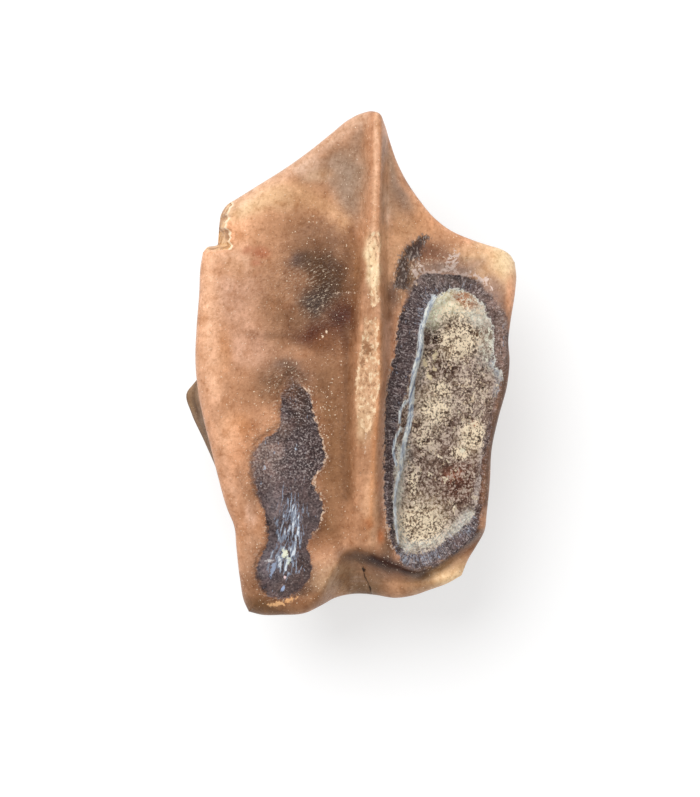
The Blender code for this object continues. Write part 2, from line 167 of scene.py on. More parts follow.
HOLLOW_RIM = [
    (3.92, 2.92), (3.24, 2.4), (2.92, 1.6), (2.64, 0.3), (2.28, -1.0), (1.9, -2.4), (1.76, -4.0),
    (1.74, -6.2), (1.9, -7.36), (2.4, -7.7), (3.2, -7.52), (4.1, -6.92), (4.92, -6.2), (5.12, -5.4),
    (5.24, -4.0), (5.5, -2.5), (5.84, -1.3), (6.06, -0.5), (5.8, -0.1), (5.74, 1.0), (5.5, 2.0),
    (4.84, 2.78), (4.34, 2.98),
]
WORN_PATCH = [
    (-2.4, -0.2), (-1.8, -0.7), (-1.52, -1.8), (-1.16, -3.1), (-1.0, -3.9), (-1.4, -4.6), (-1.1, -5.7),
    (-1.3, -6.6), (-1.72, -7.2), (-1.54, -8.2), (-1.9, -9.0), (-2.6, -9.42), (-3.3, -9.34), (-3.8, -8.6),
    (-3.8, -7.8), (-3.4, -7.1), (-3.4, -6.2), (-3.9, -5.0), (-4.02, -3.9), (-3.7, -2.9), (-2.96, -2.5),
    (-2.96, -1.6), (-2.86, -0.8),
]
# The fold at the foot, as stations (x, y, drop, run). Towards the right its fall starts a little higher
# up than in the solid, and is shorter and lower: by how much, and over which stretch across.
FOLD_LIFT, LIFT_STRETCH = 0.16, (1.0, 2.0)
RUN_SHARE, RUN_STRETCH = 0.55, (1.5, 3.0)
DROP_SHARE, DROP_STRETCH = 0.72, (2.6, 3.8)
FOOT_FOLD = [
    (-6.0, -12.5, 0.0, 1.5), (-2.2, -10.2, 0.2, 1.5), (-1.2, -9.0, 0.6, 1.5), (-0.6, -8.0, 1.0, 1.4),
    (0.0, -7.35, 1.25, 1.3), (0.9, -7.6, 1.2, 1.15), (1.8, -8.2, 1.0, 0.85), (2.6, -8.45, 0.9, 0.82),
    (3.6, -8.1, 0.85, 0.81), (4.4, -7.5, 0.75, 0.8), (5.2, -6.8, 0.5, 0.8), (6.2, -6.2, 0.2, 0.8),
]

# Segments of the block across, along and through the tooth. The face gets twice as many.
SEGMENTS = (112, 140, 9)

# ---------------------------------------------------------------- fine features, drawn over the shape

# The dark, scratched strips of bared dentine above the hollow's left end.
SCRATCHED_STRIPS = [
    [(3.1, 5.04), (2.9, 4.76), (2.76, 4.36), (2.48, 4.1), (2.14, 4.3), (2.26, 4.6), (2.54, 4.8),
     (2.86, 5.04)],
    [(2.24, 4.3), (2.28, 3.9), (2.28, 3.4), (2.2, 3.0), (1.84, 3.06), (1.82, 3.5), (1.92, 3.9),
     (2.06, 4.24)],
]
# The pale rim of the hollow's floor, with the loose splinters beside it.
PALE_RIM = [
    (3.36, 2.66), (3.06, 2.0), (2.84, 1.34), (2.8, 0.6), (2.66, 0.0), (2.52, -0.56), (2.44, -1.4),
    (2.4, -2.2), (2.26, -2.8), (2.12, -3.4), (2.02, -4.2), (1.84, -5.0), (1.8, -6.3), (1.92, -7.24),
]
PALE_SPLINTERS = [
    [(2.24, -1.5), (2.02, -1.86), (1.96, -2.4)],
    [(2.02, -2.6), (1.78, -3.1), (1.72, -3.6), (1.84, -4.1)],
]
# Where the crest of the ridge is abraded: a narrow stretch above and a broad one below.
WORN_CREST = [
    [(0.76, 5.12), (1.04, 5.24), (1.18, 4.84), (1.14, 4.08), (1.04, 3.6), (1.0, 2.96), (1.06, 2.32),
     (0.88, 2.24), (0.76, 2.88), (0.74, 3.56), (0.7, 4.24)],
    [(0.6, 1.84), (0.8, 1.66), (1.04, 1.84), (1.08, 0.76), (1.16, -0.36), (1.08, -1.52), (0.92, -2.24),
     (0.64, -2.8), (0.4, -2.44), (0.26, -2.04), (0.22, -0.64), (0.4, 0.48), (0.52, 1.36)],
]
# Hairline cracks in the enamel, and the open crack in the foot.
HAIRLINES = [
    [(-0.64, 2.8), (0.1, 2.84), (0.84, 2.76)],
    [(0.3, -4.46), (0.8, -4.42), (1.36, -4.36)],
    [(0.9, 0.46), (1.2, 0.56), (1.5, 0.64)],
    [(0.0, -8.4), (0.24, -8.34), (0.48, -8.38)],
    [(-0.1, -8.6), (0.2, -8.54), (0.5, -8.56)],
    [(-0.04, -8.76), (0.24, -8.72), (0.54, -8.74)],
]
FOOT_CRACK = [(0.5, -8.14), (0.54, -8.4), (0.58, -8.62), (0.76, -8.92), (0.86, -9.3)]


def smooth(edge_low, edge_high, value):
    """0 below the low edge, 1 above the high edge, and a smooth step between them."""
    t = np.clip((value - edge_low) / (edge_high - edge_low), 0.0, 1.0)
    return t * t * (3.0 - 2.0 * t)


def hump(x, y, centre, radii, power=1.0):
    """A round hump of height 1, a third of that one radius out, and flatter on top with more power."""
    squared = ((x - centre[0]) / radii[0]) ** 2 + ((y - centre[1]) / radii[1]) ** 2
    return np.exp(-(squared**power))


def curve_through(points, samples=240, closed=False):
    """A smooth curve through the points: cubic stretches, with tangents from each point's neighbours."""
    p = np.array(points, float)
    if closed:
        p = np.vstack([p[-2:], p, p[:3]])
    t = np.concatenate([[0.0], np.cumsum(np.linalg.norm(np.diff(p, axis=0), axis=1))])
    tangent = np.gradient(p, t, axis=0, edge_order=1)
    low, high = (t[2], t[-3]) if closed else (t[0], t[-1])
    at = np.linspace(low, high, samples, endpoint=not closed)
    i = np.clip(np.searchsorted(t, at, side="right") - 1, 0, len(t) - 2)
    span = (t[i + 1] - t[i])[:, None]
    s = (at - t[i])[:, None] / span
    return (
        p[i] * (1 + 2 * s) * (1 - s) ** 2
        + tangent[i] * span * s * (1 - s) ** 2
        + p[i + 1] * s**2 * (3 - 2 * s)
        + tangent[i + 1] * span * s**2 * (s - 1)
    )


def nearest_on(line, x, y, closed=False):
    """Distance from each point to a line, positive inside a closed one, and how far along it that is."""
    ends = np.roll(line, -1, axis=0) if closed else line[1:]
    starts = line if closed else line[:-1]
    nearest = np.full(x.shape, np.inf)
    along = np.zeros(x.shape)
    inside = np.zeros(x.shape, bool)
    travelled = 0.0
    for (ax, ay), (bx, by) in zip(starts, ends):
        dx, dy = bx - ax, by - ay
        length = math.hypot(dx, dy)
        share = np.clip(((x - ax) * dx + (y - ay) * dy) / length**2, 0.0, 1.0)
        away = np.hypot(x - ax - share * dx, y - ay - share * dy)
        closer = away < nearest
        nearest = np.where(closer, away, nearest)
        along = np.where(closer, travelled + share * length, along)
        travelled += length
        if closed:
            crosses = (ay > y) != (by > y)
            inside ^= crosses & (x < ax + (y - ay) * dx / np.where(dy == 0, 1.0, dy))
    return (np.where(inside, nearest, -nearest) if closed else nearest), along


def waves(x, y, size, seed):
    """Gentle unevenness between -1 and 1, whose swells are about size wide. Size may be a pair."""
    across, along = size if isinstance(size, tuple) else (size, size)
    return np.array([noise.noise(Vector((a / across, b / along, seed))) for a, b in zip(x, y)])


def along_side(side, share):
    """The points at these shares of a side's length."""
    at = np.linspace(0.0, 1.0, len(side))
    return np.stack([np.interp(share, at, column) for column in side.T], axis=-1)


def shield(u, v, sides):
    """The point at u across and v along, between four curved sides (a Coons patch)."""
    top, right, bottom, left = (curve_through(side) for side in sides)
    left, right = left[::-1], right[::-1]
    a, b = u[:, None], v[:, None]
    corners = (
        bottom[0] * (1 - a) * (1 - b) + bottom[-1] * a * (1 - b) + top[0] * (1 - a) * b + top[-1] * a * b
    )
    across = along_side(bottom, u) * (1 - b) + along_side(top, u) * b
    along = along_side(left, v) * (1 - a) + along_side(right, v) * a
    return across + along - corners


def outline():
    """The whole outline of the face, as one closed line."""
    round_trip = [TOP_SIDE, RIGHT_SIDE, BOTTOM_SIDE[::-1], LEFT_SIDE[::-1]]
    return np.vstack([curve_through(side, 90)[:-1] for side in round_trip])


def crest_x(y):
    """Where the median ridge's crest runs."""
    return CREST_START + CREST_LEAN * y


def along_ridge(y):
    """The ridge at y: height, half width of the crest, runs of its left and right flanks, skirt share."""
    return [np.interp(y, RIDGE[:, 0], column) for column in RIDGE.T[1:]]


def ridge(x, y):
    """Height of the median ridge: a flat crest, two flanks, and a skirt that spreads left."""
    height, half_width, left_run, right_run, skirt_share = along_ridge(y)
    away = x - crest_x(y)
    beyond = np.abs(away) - half_width
    flank = 1.0 - smooth(0.0, 1.0, beyond / np.where(away < 0, left_run, right_run))
    skirt = 1.0 - smooth(0.0, 1.0, beyond / np.where(away < 0, SKIRT_RUN, right_run))
    return height * (flank * (1.0 - skirt_share) + skirt * skirt_share)


def margin_roll(x, y, inward):
    """How far the margin of the face has rounded down."""
    radius = MARGIN_ROLL + sum(amount * hump(x, y, centre, radii) for centre, radii, amount in EXTRA_ROLLS)
    short = np.clip(1.0 - inward / radius, 0.0, 1.0)
    return MARGIN_SHARE * radius * (1.0 - np.sqrt(1.0 - MARGIN_STEEPNESS * short**2))


def foot_drop(x, y):
    """How far the surface drops past the fold at the foot of the face, with a low lip beyond it."""
    fold = curve_through([point[:2] for point in FOOT_FOLD], 120)
    fold_y = np.interp(x, fold[:, 0], fold[:, 1]) + FOLD_LIFT * smooth(*LIFT_STRETCH, x)
    stations, _, drops, runs = zip(*FOOT_FOLD)
    drop = np.interp(x, stations, drops) * np.interp(x, DROP_STRETCH, (1.0, DROP_SHARE))
    run = np.interp(x, stations, runs) * np.interp(x, RUN_STRETCH, (1.0, RUN_SHARE))
    centre, radii, height = FOOT_LIP
    return drop * smooth(0.0, 1.0, (fold_y - y) / run) - height * hump(x, y, centre, radii)


def chip_past(x, y):
    """Distance past the broken border of the spalled left shoulder, which is ragged."""
    ragged = 0.09 * np.sin(4.2 * y) + 0.06 * np.sin(11.0 * y + 1.0) + 0.03 * np.sin(23.0 * y)
    return CHIP_BORDER + ragged - x


def on_chip(y):
    """1 within the stretch of the left shoulder that is spalled, by y alone."""
    start, full, fading, end = CHIP_STRETCH
    return smooth(start, full, y) * (1.0 - smooth(fading, end, y))


def closed_distance(shapes, x, y, samples=80):
    """Distance inside the nearest of several closed outlines, negative outside them."""
    borders = [curve_through(shape, samples, closed=True) for shape in shapes]
    return np.max([nearest_on(border, x, y, closed=True)[0] for border in borders], axis=0)


def open_distance(lines, x, y, samples=16):
    """Distance to the nearest of several open lines."""
    return np.min([nearest_on(curve_through(line, samples), x, y)[0] for line in lines], axis=0)


def fields_of(x, y):
    """The distances, in millimetres, that both the relief and the finish are worked out from."""
    ragged = 0.1 * waves(x, y, 0.55, 21.0) + 0.05 * waves(x, y, 0.22, 22.0)
    field = {"x": x, "y": y, "ragged": ragged}
    field["inward"] = nearest_on(outline(), x, y, closed=True)[0]
    field["hollow"] = closed_distance([HOLLOW_EDGE], x, y, 130)
    floor_border = curve_through(HOLLOW_RIM, 130, closed=True)
    field["floor"], field["along"] = nearest_on(floor_border, x, y, closed=True)
    field["patch"] = closed_distance([WORN_PATCH], x, y, 120)
    field["strip"] = closed_distance(SCRATCHED_STRIPS, x, y, 50)
    field["crest"] = closed_distance(WORN_CREST, x, y, 60)
    field["rim"] = nearest_on(curve_through(PALE_RIM, 60), x, y)[0]
    field["splinter"] = open_distance(PALE_SPLINTERS, x, y)
    field["hairline"] = open_distance(HAIRLINES, x, y)
    field["crack"] = nearest_on(curve_through(FOOT_CRACK, 16), x, y)[0]
    return field


def hollow_depth(field):
    """Depth of the hollow: broken enamel, a wall that slopes in, a thin raised rim, and a filled floor."""
    from_edge = field["hollow"] + field["ragged"]
    from_rim = field["floor"] + 0.6 * field["ragged"]
    inside = np.clip(from_edge, 0.0, None)
    down_wall = inside / (inside + np.clip(-from_rim, 0.0, None) + 1e-6)
    x, y = field["x"], field["y"]
    gentle = np.max([hump(x, y, *place) for place in GENTLE_EDGES], axis=0)
    wall = EDGE_FALL * smooth(0.0, EDGE_RUN + GENTLE_RUN * gentle, from_edge)
    wall += WALL_FALL * smooth(0.0, STEP_WIDTH, from_edge) * down_wall
    floor = FLOOR_FALL * smooth(0.0, 0.5, from_rim)
    centre, radii, amount = FLOOR_FILL
    filled = amount * smooth(0.0, 0.3, from_rim) * hump(x, y, centre, radii)
    lips = ((field["rim"], RIM_LIP), (field["splinter"], SPLINTER_LIP))
    lip = sum(height * np.exp(-((away / width) ** 2)) for away, (height, width) in lips)
    return HOLLOW_DEPTH * (wall + floor - filled) - lip * smooth(0.0, 0.2, from_edge) * LIP_SHARE


def worn_depth(field):
    """Depth of the worn patch, the scratched strips and the abraded crest: a low step, and a dish."""
    patch = field["patch"] + field["ragged"]
    strip = field["strip"] + 0.5 * field["ragged"]
    crest = field["crest"] + 0.4 * field["ragged"]
    worn = WORN_PATCH_DEPTH * (0.4 * smooth(0.0, 0.09, patch) + 0.6 * smooth(0.05, 0.9, patch))
    return worn + 0.08 * smooth(0.0, 0.12, strip) + 0.05 * smooth(0.0, 0.08, crest)


def rough_relief(field):
    """Fine unevenness: polished on the enamel, pitted on the crest and grainy on the hollow's floor."""
    x, y = field["x"], field["y"]
    on_floor = smooth(0.0, 0.25, field["floor"])
    on_wall = smooth(0.0, 0.2, field["hollow"]) * (1.0 - on_floor)
    coarse, fine = waves(x, y, 0.42, 31.0), waves(x, y, 0.17, 32.0)
    grain = 0.055 * coarse + 0.05 * fine + 0.07 * np.clip(waves(x, y, 0.26, 33.0) - 0.1, 0.0, None)
    enamel = 0.022 * waves(x, y, 1.1, 34.0) + 0.006 * coarse
    worn = smooth(0.0, 0.15, field["patch"])
    chipped = smooth(0.0, 0.1, chip_past(x, y)) * on_chip(y)
    relief = enamel * (1.0 - on_floor) + grain * on_floor + 0.022 * fine * (on_wall + worn)
    relief += smooth(0.0, 0.08, field["crest"]) * (0.03 * coarse + 0.03 * fine)
    relief += 0.09 * chipped * waves(x, y, (0.5, 0.25), 35.0)
    relief -= 0.03 * np.exp(-((field["hairline"] / 0.035) ** 2))
    return relief - 0.05 * np.exp(-((field["crack"] / 0.05) ** 2))


def face_height(field):
    """Height of the enamelled face over the resting plane."""
    x, y = field["x"], field["y"]
    across, along = (x - FACE_MIDDLE[0]) / FACE_HALF[0], (y - FACE_MIDDLE[1]) / FACE_HALF[1]
    height = FACE_HEIGHT - DISH_DEPTH * smooth(*DISH_RUN, field["inward"])
    height -= FALL_ALONG * along**2 + FALL_ACROSS * across**2
    height -= sum(amount * hump(x, y, centre, radii) for centre, radii, amount in LOW_CORNERS)
    height -= margin_roll(x, y, np.clip(field["inward"], 0.0, None))
    height += ridge(x, y) + FACE_UNEVEN * waves(x, y, FACE_SWELL, 3.0)
    height -= CHIP_DEPTH * smooth(0.0, CHIP_RUN, chip_past(x, y)) * on_chip(y)
    height -= hollow_depth(field) + worn_depth(field) + foot_drop(x, y)
    return height + rough_relief(field)


def back_height(u, v, start):
    """Height of the back: hollow-ground flanks, which start at the margin and end in the flat keel."""
    runs = (
        u * BACK_WIDTH / LEFT_FLANK,
        (1.0 - u) * BACK_WIDTH / RIGHT_FLANK,
        (1.0 - v) * BACK_LENGTH / TIP_FLANK,
        v * BACK_LENGTH / BASE_FLANK,
    )
    nearest = -KEEL_ROUNDING * np.log(sum(np.exp(-run / KEEL_ROUNDING) for run in runs))
    down = np.clip(nearest / (1.0 - KEEL_ROUNDING), 0.0, 1.0)
    return start * (1.0 - down) ** FLANK_HOLLOWING, down


def block_mesh():
    """A unit block, cut into the segments given above, with its top face cut twice as fine."""
    block = bmesh.new()
    bmesh.ops.create_cube(block, size=1.0)
    for axis, cuts in enumerate(SEGMENTS):
        running = [e for e in block.edges if abs(e.verts[0].co[axis] - e.verts[1].co[axis]) > 0.5]
        bmesh.ops.subdivide_edges(block, edges=running, cuts=cuts - 1, use_grid_fill=True)
    on_top = [e for e in block.edges if min(e.verts[0].co.z, e.verts[1].co.z) > 0.499]
    bmesh.ops.subdivide_edges(block, edges=on_top, cuts=1, use_grid_fill=True)
    bmesh.ops.translate(block, verts=block.verts, vec=(0.5, 0.5, 0.5))
    return block


def crowded(share, gaps, strength=0.35):
    """Moves the block's cuts towards its edges and, with two gaps, its middle, where it bends most."""
    return share - strength / (2.0 * np.pi * gaps) * np.sin(2.0 * np.pi * gaps * share)


def shaped(block_points):
    """The tooth's surface points for the block's points, with the fields of the face above each."""
    u, v, t = block_points.T
    u, v, t = crowded(u, gaps=2), crowded(v, gaps=1), 1.0 - t
    face = shield(u, v, (TOP_SIDE, RIGHT_SIDE, BOTTOM_SIDE, LEFT_SIDE))
    field = fields_of(*face.T)
    face = np.column_stack([face, face_height(field)])
    body = shield(u, v, (BODY_TOP, BODY_RIGHT, BODY_BOTTOM, BODY_LEFT))
    keel, down = back_height(u, v, body[:, 2])
    x, y = body[:, 0], body[:, 1]
    uneven = BACK_UNEVEN * waves(x, y, BACK_SWELL, 11.0) * smooth(0.0, BACK_EVEN_RIM, down)
    flank = smooth(0.0, 0.12, down) * (1.0 - smooth(0.8, 0.98, down))
    uneven += flank * (0.05 * waves(x, y, (0.35, 2.2), 12.0) + 0.03 * waves(x, y, 0.4, 13.0))
    back = np.column_stack([x, y, np.maximum(keel + uneven, 0.0)])
    # Between face and back, the margin draws in below the enamel before it meets the body.
    share = t[:, None]
    margin = face * (1.0 - share) + back * share
    inward = np.column_stack([0.5 - u, 0.5 - v, 0.0 * u])
    inward /= np.linalg.norm(inward, axis=1)[:, None] + 1e-9
    waist = MARGIN_WAIST * np.sin(np.pi * t) * (1.0 + 0.5 * waves(x, y + 5.0 * t, 0.6, 14.0))
    margin += waist[:, None] * inward
    points = np.where(share < 1e-6, face, np.where(share > 1.0 - 1e-6, back, margin))
    field["wall"] = t
    field["point"] = points
    return points, field


# ---------------------------------------------------------------- colour laid on the shape

PEACH = (240, 178, 138)
CREAM_PEACH = (252, 220, 176)
TAN = (198, 146, 112)
PINK_TAN = (214, 166, 138)
ORANGE_TAN = (210, 148, 104)
RED_TAN = (182, 104, 78)
GREY_TAN = (156, 132, 113)
OCHRE_TAN = (184, 136, 104)
LIGHT_BROWN = (152, 112, 84)
BROWN = (122, 88, 66)
DARK_BROWN = (100, 76, 60)
UMBER = (66, 50, 40)
PLUM = (96, 83, 82)
MAUVE = (146, 126, 120)
CREAM = (232, 214, 180)
RUST = (190, 116, 74)

# Soft stains, each as its colour, its centre across and along, its two radii and its strength. Later
# ones lie over earlier ones. A few of the enamel's rows are painted highlight and painted shade instead,
# noted where they stand.
ENAMEL_STAINS_AND_PAINTED_LIGHT = [
    # The first stain is painted light: it lightens the right of the ridge against the shade that the light
    # from the left leaves there.
    ((220, 168, 130), 2.4, 6.2, 1.5, 3.2, 0.9), ((196, 154, 126), 1.3, -1.0, 0.34, 5.0, 0.9),
    # The last stain on the next line is painted light on the ridge's right flank, against the shade of its
    # slope.
    ((214, 166, 130), 1.8, 3.8, 0.6, 2.0, 0.9), ((246, 208, 178), 1.42, 6.2, 0.26, 0.8, 0.95),
    ((250, 190, 148), -4.2, 5.9, 2.6, 1.8, 0.95), ((255, 206, 160), -3.0, 6.6, 1.2, 0.6, 0.8),
    ((178, 130, 98), -2.6, 4.8, 1.5, 1.4, 0.8), (OCHRE_TAN, -1.3, 6.6, 1.6, 0.9, 0.45),
    (PINK_TAN, -4.64, 2.9, 1.1, 1.7, 0.9), ((244, 196, 162), -4.5, 4.0, 0.7, 0.6, 0.75),
    (LIGHT_BROWN, -2.9, 2.7, 1.2, 1.4, 0.7), (PINK_TAN, -4.04, 0.56, 1.4, 1.0, 0.85),
    (LIGHT_BROWN, -2.5, 1.1, 1.0, 0.9, 0.7), (OCHRE_TAN, -3.9, -0.9, 1.3, 0.8, 0.6),
    (GREY_TAN, -0.44, 7.9, 0.95, 0.9, 0.65), (GREY_TAN, -0.06, 7.0, 0.7, 1.5, 0.9),
    (GREY_TAN, 0.34, 9.0, 0.36, 0.8, 0.6), (GREY_TAN, -1.56, 7.5, 0.6, 0.35, 0.45),
    (LIGHT_BROWN, -1.5, 5.0, 1.4, 1.2, 0.8), ((130, 96, 74), -0.86, 3.7, 1.4, 1.9, 0.94),
    ((118, 84, 62), -0.2, 3.0, 0.6, 2.0, 0.8), ((120, 84, 62), -0.8, 2.0, 1.2, 1.2, 0.92),
    ((140, 106, 84), -1.6, 1.4, 1.1, 0.8, 0.7), ((88, 74, 74), -2.06, 4.06, 0.46, 0.38, 0.8),
    ((98, 74, 58), -1.5, 4.04, 0.8, 0.56, 0.92), ((94, 68, 50), -0.9, 3.5, 0.66, 0.9, 0.95),
    ((82, 62, 50), -1.0, 2.9, 0.56, 0.6, 0.9), ((88, 74, 66), -1.5, 2.3, 0.62, 0.66, 0.92),
    ((80, 44, 24), -0.3, 1.66, 0.6, 0.74, 0.97), ((92, 54, 26), -1.5, 1.2, 0.9, 0.46, 0.88),
    ((110, 68, 42), -0.9, 0.7, 0.6, 0.6, 0.85), ((142, 100, 72), -3.0, 2.3, 0.52, 0.36, 0.8),
    ((136, 100, 76), -2.4, 1.74, 0.8, 0.4, 0.7), ((168, 128, 100), -0.4, 4.5, 0.3, 0.4, 0.6),
    (BROWN, -3.3, 1.16, 0.9, 0.16, 0.45), (RED_TAN, -3.56, 4.4, 0.36, 0.22, 0.55),
    (RED_TAN, -4.05, 4.62, 0.22, 0.16, 0.45), (RED_TAN, -3.8, 4.0, 0.2, 0.14, 0.45),
    (ORANGE_TAN, -5.16, 0.4, 0.36, 1.0, 0.8), (ORANGE_TAN, -4.64, -2.44, 0.6, 0.5, 0.8),
    ((250, 194, 154), -5.0, -2.9, 0.4, 0.9, 0.8), (PEACH, -4.64, -3.84, 0.42, 1.4, 0.7),
    ((176, 130, 100), -3.96, -5.5, 0.42, 0.6, 0.8), ((168, 124, 96), -4.34, -4.7, 0.26, 0.6, 0.75),
    ((170, 126, 98), -6.2, -0.9, 0.22, 0.34, 0.8), (LIGHT_BROWN, -3.9, -5.4, 0.3, 0.5, 0.45),
    ((244, 196, 168), -4.02, -6.1, 0.28, 0.42, 0.85), ((226, 190, 164), -1.9, 7.96, 0.8, 0.3, 0.8),
    ((186, 156, 134), -0.7, 7.6, 0.4, 0.7, 0.6), ((222, 184, 152), -1.3, 7.46, 0.5, 0.3, 0.75),
    ((196, 150, 120), -4.04, -7.7, 0.44, 0.9, 0.85), (BROWN, -3.84, -9.1, 0.7, 0.9, 0.6),
    ((106, 78, 56), -3.4, -9.9, 1.4, 0.5, 0.9), (LIGHT_BROWN, -1.9, -9.6, 1.4, 0.4, 0.8),
    ((104, 72, 50), -1.46, -8.74, 0.5, 0.66, 0.94), ((120, 84, 60), -1.06, -6.8, 0.5, 0.9, 0.9),
    ((128, 90, 64), -0.8, -1.6, 0.4, 0.8, 0.8), ((116, 82, 62), -1.3, -7.1, 0.34, 0.6, 0.9),
    ((140, 102, 74), -0.6, -3.4, 0.9, 3.9, 0.92), (LIGHT_BROWN, -0.8, -0.6, 1.0, 1.2, 0.85),
    (BROWN, -1.2, -0.9, 0.5, 0.6, 0.5), ((146, 108, 82), -3.4, -1.2, 0.56, 0.7, 0.85),
    ((134, 100, 78), -2.8, -0.6, 1.0, 0.9, 0.85), ((114, 92, 80), -2.54, -0.04, 0.66, 0.3, 0.72),
    ((122, 92, 76), -2.1, -0.5, 0.6, 0.4, 0.8), ((196, 142, 106), -1.0, -7.8, 0.66, 0.9, 0.8),
    (GREY_TAN, 1.74, 7.7, 0.28, 1.9, 0.85), ((190, 144, 108), 2.1, 5.4, 0.6, 1.2, 0.8),
    # The second stain on the next line is painted light on the right of the ridge, against the shade there.
    (LIGHT_BROWN, 2.2, 6.9, 0.4, 0.9, 0.5), ((216, 168, 130), 1.6, 4.4, 0.4, 1.0, 0.85),
    ((140, 112, 92), 2.5, 3.6, 0.5, 1.0, 0.92), ((118, 90, 76), 1.74, 2.7, 0.26, 0.7, 0.88),
    ((128, 92, 76), 3.2, 4.4, 0.9, 0.56, 0.92), ((164, 128, 108), 4.5, 4.3, 0.9, 0.44, 0.85),
    ((168, 134, 114), 5.1, 3.6, 0.7, 0.5, 0.85), ((156, 126, 110), 6.04, 2.0, 0.3, 1.2, 0.85),
    ((140, 112, 96), 6.1, -0.3, 0.34, 1.6, 0.8), (BROWN, 5.64, -3.0, 0.34, 1.6, 0.7),
    # The stains on the next line, and the first on the line after, are the right shoulder's own paler
    # colour with painted highlight on its rounding.
    ((255, 214, 168), 5.3, 4.46, 0.8, 0.4, 0.9), ((255, 204, 162), 5.9, 3.8, 1.0, 0.9, 0.92),
    (CREAM_PEACH, 6.2, 4.16, 0.55, 0.7, 0.85), ((148, 120, 106), 5.66, 2.9, 0.46, 0.6, 0.85),
    (PEACH, 6.42, 2.8, 0.22, 0.7, 0.8), ((255, 226, 184), 0.92, 3.9, 0.24, 1.3, 0.95),
    ((226, 180, 140), 0.66, -0.2, 0.4, 1.8, 0.92), ((160, 116, 84), 0.64, 0.56, 0.26, 0.46, 0.85),
    ((138, 100, 78), 1.54, 1.6, 0.22, 0.9, 0.85), ((192, 152, 126), 1.14, -3.7, 0.16, 1.2, 0.7),
    ((204, 158, 126), -6.1, -0.3, 0.2, 0.6, 0.7), ((148, 108, 82), -1.52, 0.1, 0.4, 0.3, 0.75),
    # The first stain on the next line is painted shade in the crease of the fold at the foot.
    ((100, 74, 56), 0.36, -7.9, 0.44, 0.24, 0.85), ((234, 188, 158), -4.8, -5.5, 0.24, 0.6, 0.75),
    ((196, 144, 108), -5.16, 0.06, 0.34, 0.44, 0.7), ((228, 186, 148), 1.3, 5.0, 0.18, 0.6, 0.8),
    ((170, 126, 98), -3.9, -5.8, 0.26, 0.5, 0.8), ((255, 232, 188), 0.62, -2.3, 0.3, 0.9, 0.97),
    ((230, 180, 142), 0.8, -5.6, 0.3, 2.2, 0.85), ((176, 152, 140), 3.9, 3.76, 1.2, 0.24, 0.85),
    ((196, 160, 138), 5.0, 4.1, 0.4, 0.26, 0.6), ((226, 176, 138), 4.76, 4.56, 0.9, 0.26, 0.8),
    (CREAM_PEACH, -4.5, 6.3, 1.0, 0.4, 0.6), ((140, 116, 100), 2.2, 7.0, 0.44, 1.1, 0.9),
    ((168, 134, 104), 2.66, 3.3, 0.2, 0.5, 0.75), ((188, 152, 120), -0.6, -8.6, 1.0, 0.8, 0.9),
    ((124, 100, 80), 0.64, -8.94, 1.0, 0.7, 0.92), ((116, 88, 68), 1.5, -7.3, 0.36, 0.8, 0.9),
    # The second stain on the next line is a painted highlight on the rounded lip at the foot.
    ((190, 148, 114), 2.9, -9.0, 1.2, 0.5, 0.9), ((255, 212, 166), 4.1, -8.56, 1.2, 0.66, 0.97),
    (LIGHT_BROWN, 5.0, -7.1, 0.4, 0.7, 0.75), ((150, 110, 84), 1.18, -5.8, 0.14, 0.7, 0.7),
    ((176, 130, 104), -3.76, 0.9, 0.4, 0.4, 0.7), ((96, 68, 50), -1.96, -9.16, 0.5, 0.28, 0.85),
    (RUST, 0.7, -6.46, 0.2, 0.14, 0.55), (RUST, 1.1, -6.86, 0.18, 0.28, 0.8),
    (RUST, 1.1, -4.9, 0.16, 0.26, 0.45), (BROWN, 0.3, -5.9, 0.18, 0.14, 0.35),
]
